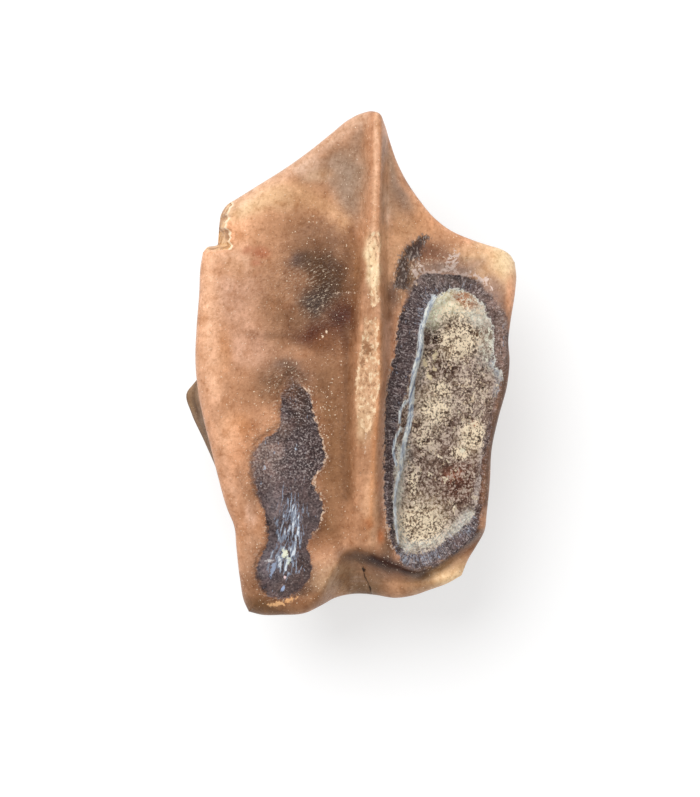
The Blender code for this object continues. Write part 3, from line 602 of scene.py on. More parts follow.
# Bands of colour, each as its colour, its line, its half width and its strength.
ENAMEL_BANDS = [
    ((206, 166, 138), [(-5.44, 5.96), (-1.64, 8.36), (0.44, 9.8)], 0.34, 0.8),
    # The next band is the left margin's own paler colour, with painted highlight where it rounds over.
    ((238, 186, 150), [(-5.56, 4.3), (-5.66, 1.8), (-5.5, -1.2)], 0.4, 0.85),
    ((204, 154, 122), [(-6.1, -0.6), (-5.5, -2.8), (-4.96, -4.6), (-4.56, -6.4)], 0.4, 0.8),
    ((208, 160, 120), [(-2.12, 6.88), (-0.84, 6.16), (-0.3, 5.6)], 0.38, 0.75),
    # The next two bands are painted shade along the foot of the ridge's left flank.
    ((150, 108, 78), [(0.0, 5.3), (0.24, 4.4), (0.2, 3.6)], 0.22, 0.7),
    (BROWN, [(-0.12, 1.4), (-0.18, -3.4), (-0.14, -5.4)], 0.2, 0.7),
    # The next band is painted light on the ridge's right flank, against the shade of its slope.
    ((214, 170, 144), [(1.44, 1.6), (1.46, 0.6), (1.36, -1.44), (1.28, -4.6), (1.34, -6.0)], 0.15, 0.9),
    ((184, 132, 100), [(1.06, 9.95), (0.98, 7.2), (0.92, 5.1)], 0.24, 0.9),
    # The next band is a painted highlight along the crest, and the one after is painted shade in a thin
    # line below its steep right flank.
    ((250, 200, 162), [(1.06, 9.95), (0.98, 7.2), (0.92, 5.1)], 0.1, 0.6),
    ((104, 78, 60), [(1.36, 9.0), (1.3, 7.2), (1.28, 5.6)], 0.08, 0.4),
    (OCHRE_TAN, [(0.8, 2.5), (0.68, -1.44), (0.6, -4.3)], 0.5, 0.8),
    (ORANGE_TAN, [(1.1, 1.6), (1.16, -0.4), (1.0, -2.6), (0.8, -6.4)], 0.14, 0.6),
    (PEACH, [(1.44, 9.4), (2.16, 7.2), (3.24, 5.8), (4.76, 4.9)], 0.2, 0.5),
    ((122, 94, 78), [(6.2, 1.0), (6.24, -0.6), (5.84, -2.2), (5.56, -3.8), (5.44, -5.6)], 0.24, 0.9),
    ((180, 136, 106), [(5.66, -3.9), (5.54, -5.44), (5.38, -6.7)], 0.08, 0.6),
    # The last three bands are painted shade in the crease of the fold at the foot.
    (DARK_BROWN, [(-0.3, -7.7), (0.3, -7.6), (1.0, -7.94), (1.5, -8.2)], 0.34, 0.75),
    (UMBER, [(0.9, -7.84), (1.6, -8.02), (2.2, -8.3), (2.9, -8.44)], 0.32, 0.97),
    (DARK_BROWN, [(2.8, -8.4), (3.6, -8.06), (4.3, -7.5), (5.1, -6.8)], 0.24, 0.8),
]
DENTINE_STAINS = [
    (BROWN, -2.4, -0.8, 0.9, 0.7, 0.8), ((158, 136, 126), -3.46, -3.66, 0.64, 0.84, 0.85),
    ((144, 120, 108), -2.8, -2.6, 0.4, 0.4, 0.8), (MAUVE, -3.3, -4.6, 0.5, 0.6, 0.5),
    ((82, 64, 56), -1.96, -1.7, 0.5, 0.9, 0.8), (UMBER, -1.5, -3.8, 0.44, 1.2, 0.55),
    ((78, 64, 60), -1.84, -8.4, 0.4, 0.5, 0.7), ((132, 120, 120), -2.96, -5.9, 0.36, 0.8, 0.8),
    ((86, 70, 66), -2.5, -9.0, 0.8, 0.5, 0.8), ((124, 110, 104), 3.9, 3.4, 1.4, 0.34, 0.8),
    ((136, 126, 130), -3.2, -7.9, 0.5, 0.8, 0.75), ((138, 118, 110), 5.5, 2.6, 0.6, 0.6, 0.85),
    ((146, 122, 110), 6.05, 1.0, 0.34, 1.7, 0.9), ((140, 112, 96), 5.9, -1.8, 0.36, 1.8, 0.9),
    (BROWN, 5.4, -5.2, 0.3, 1.6, 0.85), ((112, 100, 98), 3.0, -7.9, 1.0, 0.4, 0.7),
]
FLOOR_STAINS = [
    ((72, 50, 42), 3.44, 1.06, 0.5, 0.8, 0.97), ((84, 60, 48), 3.9, -0.2, 0.5, 0.44, 0.9),
    ((236, 212, 174), 4.3, 0.8, 0.66, 0.6, 0.92), ((162, 144, 134), 4.9, -1.2, 0.8, 1.2, 0.85),
    ((190, 176, 168), 5.46, -3.6, 0.24, 0.8, 0.85), ((216, 202, 176), 3.3, -1.7, 0.7, 0.9, 0.85),
    ((118, 98, 88), 4.1, -2.7, 0.44, 0.6, 0.8), ((140, 120, 108), 3.5, -3.9, 0.6, 0.6, 0.8),
    ((186, 184, 178), 2.26, -3.5, 0.28, 0.8, 0.9), ((164, 158, 150), 2.84, -0.1, 0.22, 0.8, 0.75),
    (CREAM, 4.66, -3.14, 0.46, 0.6, 0.8), (CREAM, 4.52, -3.48, 0.18, 0.18, 0.95),
    ((216, 140, 92), 4.92, -2.42, 0.22, 0.18, 0.9), ((140, 108, 76), 5.0, 0.96, 0.26, 0.2, 0.7),
    ((116, 80, 68), 4.5, -4.8, 0.96, 1.0, 0.92), ((168, 104, 78), 4.1, -4.5, 0.4, 0.3, 0.7),
    ((222, 202, 166), 2.9, -6.3, 1.0, 1.0, 0.85), ((255, 240, 204), 3.84, 2.4, 1.2, 0.7, 0.97),
    ((255, 250, 220), 3.3, 2.1, 0.44, 0.6, 0.97), ((224, 220, 206), 5.2, 1.96, 0.6, 0.6, 0.95),
    ((176, 166, 152), 5.3, 0.8, 0.44, 0.6, 0.95), ((150, 138, 130), 5.3, 0.0, 0.4, 0.44, 0.85),
    ((124, 94, 68), 5.06, 1.02, 0.36, 0.32, 0.92), ((200, 120, 78), 4.5, 2.66, 0.4, 0.24, 0.92),
    ((196, 128, 90), 4.86, 2.4, 0.3, 0.2, 0.8),
]
FLOOR_BANDS = [
    ((190, 196, 204), [(5.7, 0.0), (6.0, -0.5), (5.86, -1.2)], 0.16, 0.95),
    ((206, 206, 196), [(1.86, -3.4), (1.94, -4.6), (1.9, -6.4), (2.2, -7.3)], 0.24, 0.88),
    ((206, 206, 200), [(2.2, -7.4), (3.2, -7.2), (4.1, -6.76), (4.8, -6.1)], 0.28, 0.9),
    ((206, 196, 190), [(5.06, -5.6), (5.2, -4.6), (5.44, -3.2)], 0.16, 0.88),
]
# Small marks on and round the worn patch, on the crest and at the crack: colour,
# centre, two radii and turn.
PATCH_MARKS = [
    ((255, 252, 222), -2.62, -7.62, 0.17, 0.3, 0.1), ((230, 236, 220), -2.48, -7.96, 0.1, 0.18, 0.0),
    ((168, 182, 208), -3.12, -8.28, 0.11, 0.46, -0.3), ((226, 222, 222), -3.24, -7.92, 0.22, 0.07, 0.1),
    ((236, 206, 206), -2.64, -8.6, 0.07, 0.07, 0.0), ((156, 172, 202), -2.7, -9.02, 0.08, 0.26, -0.3),
    ((196, 206, 220), -3.46, -4.2, 0.07, 0.12, 0.0), ((196, 206, 220), -2.18, -3.4, 0.06, 0.14, 0.0),
    ((236, 184, 134), -2.96, -9.66, 0.46, 0.13, 0.1), ((232, 176, 124), -2.44, -9.5, 0.36, 0.1, 0.4),
    ((242, 216, 188), -1.12, 1.08, 0.06, 0.12, 0.2), ((242, 216, 188), -0.96, 1.24, 0.06, 0.09, -0.2),
    ((44, 32, 24), 0.52, -8.3, 0.09, 0.11, 0.0), ((152, 108, 78), 0.66, 0.54, 0.24, 0.42, 0.1),
    ((156, 112, 82), 0.5, 0.0, 0.14, 0.26, -0.1), ((226, 208, 172), 2.98, -0.02, 0.11, 0.26, 0.2),
    ((226, 208, 172), 3.38, 0.29, 0.15, 0.26, -0.3), ((222, 202, 166), 3.38, -0.24, 0.12, 0.16, 0.0),
    ((226, 208, 172), 3.18, -0.56, 0.11, 0.24, 0.5), ((250, 240, 214), 4.51, -3.49, 0.12, 0.14, 0.3),
]
# Smooth crust on the floor: line, half width and share.
CALM_CRUST = [
    ([(3.1, 1.9), (3.34, 2.36), (3.9, 2.5), (4.6, 2.4)], 0.62, 0.92),
    ([(4.7, 2.3), (5.24, 1.8), (5.5, 0.8), (5.56, 0.2)], 0.42, 0.9),
    ([(5.56, 0.1), (5.9, -0.44)], 0.22, 0.9),
    ([(4.84, -2.4), (4.98, -2.46)], 0.13, 0.8),
    ([(1.86, -3.4), (1.94, -4.6), (1.9, -6.4), (2.2, -7.3)], 0.2, 0.6),
    ([(2.2, -7.4), (3.2, -7.2), (4.1, -6.7), (4.8, -6.1)], 0.22, 0.6),
]
# Thin light lines on hairline cracks: line, half width and strength.
LIGHT_LINES = [
    (HAIRLINES[0], 0.05, 0.55), (HAIRLINES[1], 0.04, 0.3), (HAIRLINES[2], 0.04, 0.5),
    ([(0.62, -2.8), (0.56, -3.6)], 0.05, 0.7),
    ([(2.68, 3.44), (2.64, 3.14)], 0.05, 0.9),
    ([(2.52, 4.2), (2.46, 3.7)], 0.05, 0.8),
    ([(1.76, 3.1), (1.74, 3.6), (1.9, 4.1)], 0.05, 0.6),
]
# Where the broken border of a worn area, or of the hollow's floor, shows light: line, half width and
# strength.
LIT_BORDERS = [
    ([(-1.8, -0.9), (-1.48, -1.8), (-1.12, -3.1), (-0.96, -3.9)], 0.3, 0.95),
    ([(-1.36, -4.5), (-1.06, -5.7), (-1.26, -6.6)], 0.3, 0.95),
    ([(-3.9, -3.0), (-3.3, -2.5), (-2.8, -2.5)], 0.3, 0.5),
    ([(1.98, 1.9), (1.78, 0.4), (1.5, -0.9), (1.36, -2.6)], 0.3, 0.6),
    ([(1.36, -2.6), (1.42, -4.4), (1.5, -6.2), (1.7, -7.5)], 0.3, 0.55),
]
LIT_FLOOR = [
    ([(5.56, 1.9), (5.74, 1.0), (5.8, 0.0), (6.06, -0.5)], 0.3, 0.8),
    ([(2.9, 1.5), (3.16, 2.3), (3.7, 2.9), (4.6, 2.9), (5.2, 2.4), (5.56, 1.9)], 0.3, 0.9),
]
# From here on each row is a soft spot: its centre, its two radii and its strength. First, where the
# border of a worn area fades, and how far its dark reaches past, or stays short of, its own hollow.
SOFT_BORDERS = [
    (-2.7, -0.5, 1.2, 1.0, 0.88), (-3.1, -1.7, 0.5, 1.2, 0.8), (2.3, 3.1, 0.7, 1.1, 0.85),
    (3.6, 4.1, 1.2, 0.6, 0.75), (-3.9, -4.6, 0.6, 2.6, 0.8), (-3.6, -8.6, 0.5, 1.0, 0.7),
    (5.9, 0.0, 0.8, 4.2, 0.8), (5.4, -5.0, 0.8, 2.6, 0.8), (5.3, 3.2, 1.0, 1.0, 0.8),
    (3.4, -8.2, 1.8, 0.6, 0.7),
]
RING_SPREAD = [
    (2.5, -8.3, 1.5, 0.6, 0.06), (6.2, 1.4, 0.5, 2.0, 0.2), (2.1, 3.2, 0.6, 1.1, -0.4),
    (3.9, 4.1, 1.7, 0.7, -0.84), (1.4, -5.4, 0.4, 1.6, 0.1),
]
PATCH_SPREAD = [
    (-2.3, -0.4, 1.0, 0.7, -0.34), (-3.0, -1.4, 0.4, 1.0, -0.16), (-3.7, -2.8, 0.8, 0.7, -0.26),
    (-3.7, -7.5, 0.5, 0.6, -0.14), (-1.5, -4.9, 0.3, 0.4, -0.12),
]
# Fine fibres over the hollow's wall, scratches on the enamel, and streaks on the worn patch.
FRINGES = [
    (2.0, -2.0, 0.6, 5.4, 0.2), (2.9, 2.2, 0.9, 1.1, 0.75), (4.4, 3.2, 0.9, 0.5, 0.3),
    (2.9, -7.9, 1.5, 0.9, 0.8), (4.6, -6.9, 1.0, 1.0, 0.5),
]
SCUFFS = [
    (-1.4, 2.5, 0.66, 0.8, 1.0), (-1.3, 3.6, 0.7, 0.6, 0.7), (-2.4, 3.4, 0.6, 0.9, 0.35),
    (2.46, 3.5, 0.42, 1.2, 1.0), (3.7, 4.0, 1.2, 0.4, 0.35), (-2.6, -0.8, 0.8, 0.65, 0.6),
    (-0.3, -8.95, 0.6, 0.3, 0.45),
]
STREAKS = [(-2.4, -6.56, 0.64, 1.5, 1.0), (-2.6, -7.7, 0.8, 0.8, 0.95), (-2.5, -8.2, 0.7, 0.5, 0.8)]
# Pinkish white frost: what follows the border of the hollow, and what lies free of it.
RING_FROST = [(3.3, 3.6, 0.7, 0.8, 1.0), (4.9, 3.5, 0.9, 0.8, 1.0)]
FREE_FROST = [(4.1, 4.1, 0.3, 0.56, 0.9), (2.7, 3.6, 0.2, 0.8, 0.7)]
# Clusters of pale grains on the hollow's floor, and stretches of the enamel with many pale specks.
GRAIN_CLUSTERS = [
    (4.3, 2.1, 1.1, 0.6, 0.9), (4.38, 0.9, 0.8, 0.8, 1.3), (3.04, 0.0, 0.3, 0.7, 0.55),
    (3.6, -1.1, 0.5, 0.45, 0.95), (3.4, -1.9, 0.7, 0.6, 1.0), (4.9, -2.84, 0.5, 0.6, 1.3),
    (2.8, -6.5, 1.0, 0.94, 1.05), (2.5, -4.8, 0.3, 0.9, 0.7), (4.4, -3.6, 0.4, 0.3, 1.2),
    (3.0, -2.9, 0.8, 0.8, 0.55), (4.8, -1.2, 0.8, 1.2, 0.5),
]
BLOTCH_SPECKS = [(-1.2, 3.1, 1.3, 1.6, 0.5), (-0.9, -1.7, 0.4, 1.1, 1.0)]
SHOULDER_SPECKS = [(3.6, 4.5, 1.4, 0.6, 1.0), (2.2, 3.6, 0.5, 1.2, 1.0)]

# What a colour seen on the surface keeps as its own, once its gloss and the strength of the light
# are taken off, the least share that a dark colour keeps, and the darkest and the palest own colour.
GLOSS = 0.021
ALBEDO_SHARE = 1.02
LEAST_SHARE = 0.35
DARKEST, PALEST = 0.002, 0.95

# How far down the margin, as a share of its height, the face's markings end, and its colour fades.
FACE_ENDS = 0.02
ENAMEL_FADES = (0.02, 0.35)


def linear(colour):
    """A colour given as sRGB values up to 255, as the surface's own colour in linear light."""
    c = np.array(colour, float) / 255.0
    seen = np.where(c <= 0.04045, c / 12.92, ((c + 0.055) / 1.055) ** 2.4)
    return np.clip(ALBEDO_SHARE * np.maximum(seen - GLOSS, LEAST_SHARE * seen), DARKEST, PALEST)


def spots(x, y, rows, power=1.5):
    """Round spots, each even across its middle and soft at its border, as one row of values each."""
    return np.array([strength * hump(x, y, (cx, cy), (rx, ry), power) for cx, cy, rx, ry, strength in rows])


def bands(x, y, rows):
    """The strongest at each point of several bands: line, half width and strength of each."""
    return np.max([
        strength * np.exp(-((nearest_on(curve_through(line, 24), x, y)[0] / half_width) ** 4))
        for line, half_width, strength in rows
    ], axis=0)


def lay(tint, colour, amount):
    """Lays a colour over a tint, by an amount from 0 to 1 at each point."""
    tint += amount[:, None] * (linear(colour) - tint)


def stained(x, y, ground, stains, stripes=()):
    """A ground colour with soft stains and bands on it, their borders wavering."""
    drift_x = 0.22 * waves(x, y, 1.3, 41.0) + 0.09 * waves(x, y, 0.45, 42.0)
    drift_y = 0.22 * waves(x, y, 1.3, 43.0) + 0.09 * waves(x, y, 0.45, 44.0)
    tint = np.tile(linear(ground), (len(x), 1))
    for colour, *place in stains:
        lay(tint, colour, spots(x + drift_x, y + drift_y, [place])[0])
    for colour, line, half_width, strength in stripes:
        away = nearest_on(np.array(line), x + 0.3 * drift_x, y + 0.3 * drift_y)[0]
        lay(tint, colour, strength * np.exp(-((away / half_width) ** 2)))
    return tint


def back_tint(point):
    """The bare, brown-stained dentine of the margin and the back, streaked along the tooth."""
    x, y, z = point.T
    tint = np.tile(linear((134, 106, 82)), (len(x), 1))
    streak = waves(x + 3.0 * z, y, (0.5, 3.5), 51.0)
    patchy = waves(x, y + z, 1.6, 52.0)
    lay(tint, (96, 74, 58), smooth(0.0, 0.55, streak) * 0.7)
    lay(tint, (168, 136, 104), smooth(0.05, 0.6, -streak) * 0.6)
    lay(tint, GREY_TAN, smooth(0.1, 0.5, patchy) * 0.5)
    lay(tint, (150, 98, 66), smooth(0.1, 0.5, -patchy) * 0.5)
    return tint


def finish_tints(field, nearest_mark):
    """The tints that the material reads at each point."""
    x, y = field["x"], field["y"]
    below = smooth(*ENAMEL_FADES, field["wall"])[:, None]
    enamel = stained(x, y, TAN, ENAMEL_STAINS_AND_PAINTED_LIGHT, ENAMEL_BANDS) * (1.0 - below)
    return {
        "enamel_tint": enamel + back_tint(field["point"]) * below,
        "dentine_tint": stained(x, y, PLUM, DENTINE_STAINS),
        "mark_tint": np.array([linear(mark[0]) for mark in PATCH_MARKS])[nearest_mark],
        "floor_tint": stained(x, y, (136, 114, 102), FLOOR_STAINS, FLOOR_BANDS),
    }


def finish_fields(field):
    """What the material reads at each point: the strengths of its fine markings, and its tints."""
    x, y, wall = field["x"], field["y"], field["wall"]
    on_face = 1.0 - smooth(0.0, FACE_ENDS, wall)
    hollow = field["hollow"] + 0.05 + spots(x, y, RING_SPREAD).sum(axis=0)
    patch = field["patch"] + spots(x, y, PATCH_SPREAD).sum(axis=0)
    chip = chip_past(x, y) - 0.14 - 0.9 * smooth(0.2, 0.6, wall)
    closeness, nearest_mark = mark_closeness(x, y)
    # The markings of the face alone. Below it, a distance gets a value that draws nothing.
    strengths = {
        "light_line": light_lines(x, y),
        "lit_border": bands(x, y, LIT_BORDERS),
        "lit_floor": bands(x, y, LIT_FLOOR),
        "scuffs": scuffed(x, y, field),
        "specks": speck_density(x, y, field),
        "frost": frosted(x, y, hollow),
    }
    distances = {
        "worn_edge": (np.maximum(hollow, patch), -1.0),
        "strip": (field["strip"], -1.0),
        "crest_edge": (field["crest"], -1.0),
        "crack": (crack_side(x, y), 1.0),
    }
    values = {name: strength * on_face for name, strength in strengths.items()}
    for name, (distance, elsewhere) in distances.items():
        values[name] = np.where(wall > FACE_ENDS, elsewhere, np.clip(distance, -1.0, 1.0))
    values |= {
        "crispness": 1.0 - spots(x, y, SOFT_BORDERS).max(axis=0),
        "floor_edge": np.clip(field["floor"], -1.0, 1.0),
        "along": field["along"],
        "rim": rim_strength(y, field),
        "streaks": spots(x, y, STREAKS).max(axis=0) * smooth(0.05, 0.3, field["patch"]),
        "mark": np.where(wall > FACE_ENDS, -2.0, closeness),
        "fringe": fringe_strength(x, y, field),
        "flow": patch_flow(x, y),
        "grains": np.maximum(0.1, spots(x, y, GRAIN_CLUSTERS, 1.0).max(axis=0)),
        "calm": bands(x, y, CALM_CRUST),
        "chip": np.where(on_chip(y) > 0.1, np.clip(chip, -1.0, 1.0), -1.0),
        "bare": smooth(0.02, 0.3, wall),
    }
    return values, finish_tints(field, nearest_mark)


def crack_side(x, y):
    """How far to the right of the foot's crack each point lies, and 1 beyond the crack's ends."""
    line_x, line_y = np.array(FOOT_CRACK[::-1]).T
    side = x - np.interp(y, line_y, line_x) + 0.05 * waves(x, y, 0.1, 71.0)
    return np.where((y > line_y[0]) & (y < line_y[-1]), side, 1.0)


def mark_closeness(x, y):
    """How near the nearest small mark is, 1 at its middle and 0 at its border, and which one it is."""
    near = []
    for _, centre_x, centre_y, radius_x, radius_y, turn in PATCH_MARKS:
        dx, dy = x - centre_x, y - centre_y
        across, along = dx * math.cos(turn) + dy * math.sin(turn), dy * math.cos(turn) - dx * math.sin(turn)
        near.append(1.0 - np.hypot(across / radius_x, along / radius_y))
    return np.clip(np.max(near, axis=0), -2.0, 1.0), np.argmax(near, axis=0)


def beside(distance, width, middle=0.0):
    """1 where a distance has its middle value, fading within about the width either way."""
    return np.exp(-(((distance - middle) / width) ** 2))


def rim_strength(y, field):
    """How strongly the pale rim of the hollow's floor shows."""
    width = np.interp(y, [-7.5, -4.0, -2.4, -1.0, 0.0, 1.5], [0.08, 0.15, 0.17, 0.16, 0.15, 0.14])
    line = beside(field["rim"], width) * np.interp(y, [-7.0, -3.0, -1.0], [0.75, 0.9, 1.0])
    return np.maximum(line, 0.95 * beside(field["splinter"], 0.08))


def fringe_strength(x, y, field):
    """How strongly fine fibres stand out from the floor's border, over the dark wall round it."""
    return beside(field["floor"], 0.34, -0.12) * spots(x, y, FRINGES).max(axis=0)


def scuffed(x, y, field):
    """How thickly short light and dark scratches cover the enamel."""
    by_border = np.maximum(0.5 * beside(field["patch"], 0.16), 0.4 * beside(field["hollow"], 0.14))
    return np.maximum(spots(x, y, SCUFFS).max(axis=0), by_border)


def frosted(x, y, hollow):
    """How thickly a pinkish white frost lies on the enamel along the top of the hollow."""
    by_ring = beside(hollow, 0.26, -0.12) * spots(x, y, RING_FROST).max(axis=0)
    return np.maximum(by_ring, spots(x, y, FREE_FROST).max(axis=0))


def patch_flow(x, y):
    """Distance across the streaks of the worn patch, which spread as they run down."""
    down = np.clip(-5.4 - y, 0.0, None)
    return (x + 2.1 + 0.12 * down) / (1.0 + 0.26 * down)


def light_lines(x, y):
    """The thin light lines, 1 on them and falling off beside them; the weaker ones stay below 1."""
    shown = [
        1.3 - nearest_on(curve_through(line, 24), x, y)[0] / (6.0 * half_width) - 0.3 * (2.0 - strength)
        for line, half_width, strength in LIGHT_LINES
    ]
    return np.clip(np.max(shown, axis=0), 0.0, 1.0)


def speck_density(x, y, field):
    """How thickly fine pale specks lie on the enamel."""
    blotch, shoulder = (spots(x, y, rows, 1.0).max(axis=0) for rows in (BLOTCH_SPECKS, SHOULDER_SPECKS))
    by_border = 0.5 * beside(field["patch"], 0.4) + 0.4 * beside(field["hollow"], 0.25, -0.05)
    return np.clip(0.12 + by_border + 0.55 * blotch + 0.6 * shoulder, 0.0, 1.0)


# ---------------------------------------------------------------- the node material

# The surface's sheen; how rough polished enamel is, from its hollows to its rises, and how much rougher
# worn dentine and the bare back are; and how deep the bump goes on enamel and on the hollow's floor.
SHEEN = 0.22
ENAMEL_ROUGHNESS = (0.3, 0.46)
ROUGHER = 0.22
BUMP_STRENGTH, BUMP_DEPTHS = 0.9, (0.05, 0.12)


class Value:
    """What a node puts out. Arithmetic on it adds the node that works the result out."""

    def __init__(self, tree, socket):
        self.tree, self.socket = tree, socket

    def __add__(self, other):
        return self.tree.math("ADD", self, other)

    def __sub__(self, other):
        return self.tree.math("SUBTRACT", self, other)

    def __mul__(self, other):
        return self.tree.math("MULTIPLY", self, other)

    def __abs__(self):
        return self.tree.math("ABSOLUTE", self)

    def ramp(self, low, high, out_low=0.0, out_high=1.0):
        """A smooth step of the value, from low to high, which may also run down."""
        inputs = enumerate((self, low, high, out_low, out_high))
        return self.tree.add("MapRange", "Result", inputs, interpolation_type="SMOOTHSTEP")

    def centred(self, strength=1.0):
        """A noise that runs either way from 0, in place of its own middle of 0.5."""
        return (self - 0.5) * strength


class Tree:
    """A material's node tree, with short calls that add a node and give back its output."""

    def __init__(self, name):
        self.material = bpy.data.materials.new(name)
        self.material.use_nodes = True
        self.nodes = self.material.node_tree.nodes
        self.links = self.material.node_tree.links
        self.surface = self.nodes["Principled BSDF"]

    def feed(self, socket, value):
        """Links a socket to a node's output, or sets it to a plain value."""
        if isinstance(value, Value):
            self.links.new(value.socket, socket)
        elif socket.type == "RGBA":
            socket.default_value = (*value, 1.0)
        else:
            socket.default_value = value

    def add(self, kind, output, inputs=(), **options):
        """Adds a node, sets its options, feeds its inputs by name or number, and gives an output."""
        node = self.nodes.new("ShaderNode" + kind)
        for option, value in options.items():
            setattr(node, option, value)
        for key, value in dict(inputs).items():
            self.feed(node.inputs[key], value)
        return Value(self, node.outputs[output])

    def read(self, name, output="Fac"):
        """A named attribute of the mesh, as a value or, with the output Color, as a colour."""
        return self.add("Attribute", output, attribute_name=name)

    def math(self, operation, *values, clamp=False):
        return self.add("Math", 0, enumerate(values), operation=operation, use_clamp=clamp)

    def mix(self, amount, low, high):
        """A colour or value, mixed into another. A plain colour is given as sRGB values up to 255."""
        low, high = (tone(colour) if isinstance(colour, tuple) else colour for colour in (low, high))
        return self.add("Mix", 2, {0: amount, 6: low, 7: high}, data_type="RGBA")

    def shade(self, amount, colour, factor):
        """The colour, multiplied by a factor for each channel to this extent."""
        inputs = {0: amount, 6: colour, 7: factor}
        return self.add("Mix", 2, inputs, data_type="RGBA", blend_type="MULTIPLY")

    def place(self, scale, vector=None, turn=0.0):
        """Object coordinates in millimetres, turned about Z and then scaled along each axis."""
        if vector is None:
            vector = self.add("TexCoord", "Object")
            scale = tuple(s / MM for s in scale)
        inputs = {"Vector": vector, "Rotation": (0.0, 0.0, turn), "Scale": tuple(1.0 / s for s in scale)}
        return self.add("Mapping", "Vector", inputs, vector_type="TEXTURE")

    def noise(self, scale, detail=3.0, rough=0.55, warp=0.0, vector=None, turn=0.0):
        """A noise over the object's coordinates, or over a vector."""
        inputs = {"Scale": 1.0, "Detail": detail, "Roughness": rough, "Distortion": warp}
        return self.add("TexNoise", "Fac", {**inputs, "Vector": self.place(scale, vector, turn)})

    def stirred(self, vector, amount):
        """The vector, pushed about by a noise, so that what is laid by it loses its regular shapes."""
        push = self.add("TexNoise", "Color", {"Scale": 1.4, "Vector": vector})
        inputs = enumerate((push, (amount, amount, amount), vector))
        return self.add("VectorMath", "Vector", inputs, operation="MULTIPLY_ADD")

    def grains(self, vector):
        """Packed grains: the distance from the middle of each, and a value of its own."""
        distance = self.add("TexVoronoi", "Distance", {"Scale": 1.0, "Vector": vector})
        return distance, Value(self, distance.socket.node.outputs["Color"])

    def coordinate(self, axis):
        """The object's own X, Y or Z coordinate, in metres."""
        return self.add("SeparateXYZ", axis, {0: self.add("TexCoord", "Object")})

    def combine(self, x, y):
        return self.add("CombineXYZ", 0, enumerate((x, y)))

    def right_half(self):
        """1 right of the median ridge and 0 left of it."""
        return self.coordinate("X").ramp(1.0 * MM, 1.3 * MM)

    def rim_position(self):
        """How far along the floor's border, and how far inside it, each point lies."""
        return self.combine(self.read("along"), self.read("floor_edge"))


def tone(colour):
    """A palette colour as a plain tuple for a node."""
    return tuple(float(c) for c in linear(colour))


def enamel_layer(tree):
    """Polished enamel: mottled at four scales, specked, scuffed and damaged. Its colour and relief."""
    broad = tree.noise((0.9, 0.75, 0.9), 4.0, warp=0.8)
    cloudy = tree.noise((3.0, 2.4, 3.0), 4.0, warp=0.2)
    fine = tree.noise((8.5, 7.0, 8.5), 3.0, 0.65)
    grit = tree.noise((15.0, 14.0, 15.0), 2.0, 0.5)
    colour = tree.read("enamel_tint", "Color")
    for pattern, start, full, factor in (
        (broad, 0.5, 0.7, (0.84, 0.76, 0.68)), (broad, 0.5, 0.3, (1.1, 1.1, 1.1)),
        (cloudy, 0.5, 0.7, (0.84, 0.77, 0.7)), (cloudy, 0.5, 0.32, (1.16, 1.18, 1.22)),
        (fine, 0.52, 0.68, (0.8, 0.75, 0.7)), (fine, 0.48, 0.32, (1.14, 1.17, 1.2)),
        (grit, 0.29, 0.23, (0.74, 0.66, 0.58)),
    ):
        colour = tree.shade(pattern.ramp(start, full), colour, factor)
    specks = (grit + tree.read("specks") * 0.1).ramp(0.7, 0.75)
    colour = tree.mix(specks * 0.85, colour, (255, 228, 202))
    dashes = tree.noise((6.0, 19.0, 4.0), 2.0, 0.6, 0.5, turn=0.45)
    lines = tree.noise((14.0, 3.5, 4.0), 3.0, 0.6, 0.8, turn=-0.12)
    marks = tree.mix(tree.right_half(), dashes, lines)
    scuffs = tree.read("scuffs")
    light = scuffs * marks.ramp(0.56, 0.66, 0.0, 0.85)
    colour = tree.shade(scuffs * marks.ramp(0.51, 0.41, 0.0, 0.85), colour, (0.45, 0.42, 0.42))
    colour = tree.mix(light, colour, (206, 186, 166))
    colour = enamel_damage(tree, colour, cloudy, fine, lines)
    return colour, fine * 0.45 + grit * 0.35 + light * 0.3


def enamel_damage(tree, colour, cloudy, fine, lines):
    """Frost, the scratched strips, the crack in the foot and the chipped margin, over the enamel."""
    frost = tree.read("frost")
    wisps = tree.noise((5.0, 4.0, 5.0), 4.0, 0.7, 0.8, turn=0.6)
    frost = (wisps + frost * 0.19).ramp(0.61, 0.68, 0.0, 0.88) * frost.ramp(0.05, 0.3)
    colour = tree.mix(frost, colour, (226, 204, 192))
    strip = (tree.read("strip") + tree.mix(0.5, lines, fine).centred()).ramp(-0.16, 0.06)
    colour = tree.mix(strip * 0.9, colour, (70, 61, 60))
    scratch = strip * tree.mix(0.5, fine, lines).ramp(0.53, 0.6, 0.0, 0.75)
    colour = tree.mix(scratch, colour, (176, 160, 150))
    gape = abs(tree.read("crack")).ramp(0.03, 0.01, 0.0, 0.8)
    colour = tree.mix(gape, colour, (52, 38, 28))
    chip = tree.read("chip") + fine.centred(0.25)
    ochre = tree.mix(cloudy.ramp(0.42, 0.58), (176, 126, 80), (222, 178, 130))
    ochre = tree.shade(tree.read("bare"), ochre, (0.84, 0.78, 0.76))
    colour = tree.mix(chip.ramp(-0.02, 0.03), colour, ochre)
    return tree.mix(abs(chip).ramp(0.06, 0.02, 0.0, 0.75), colour, (255, 232, 200))


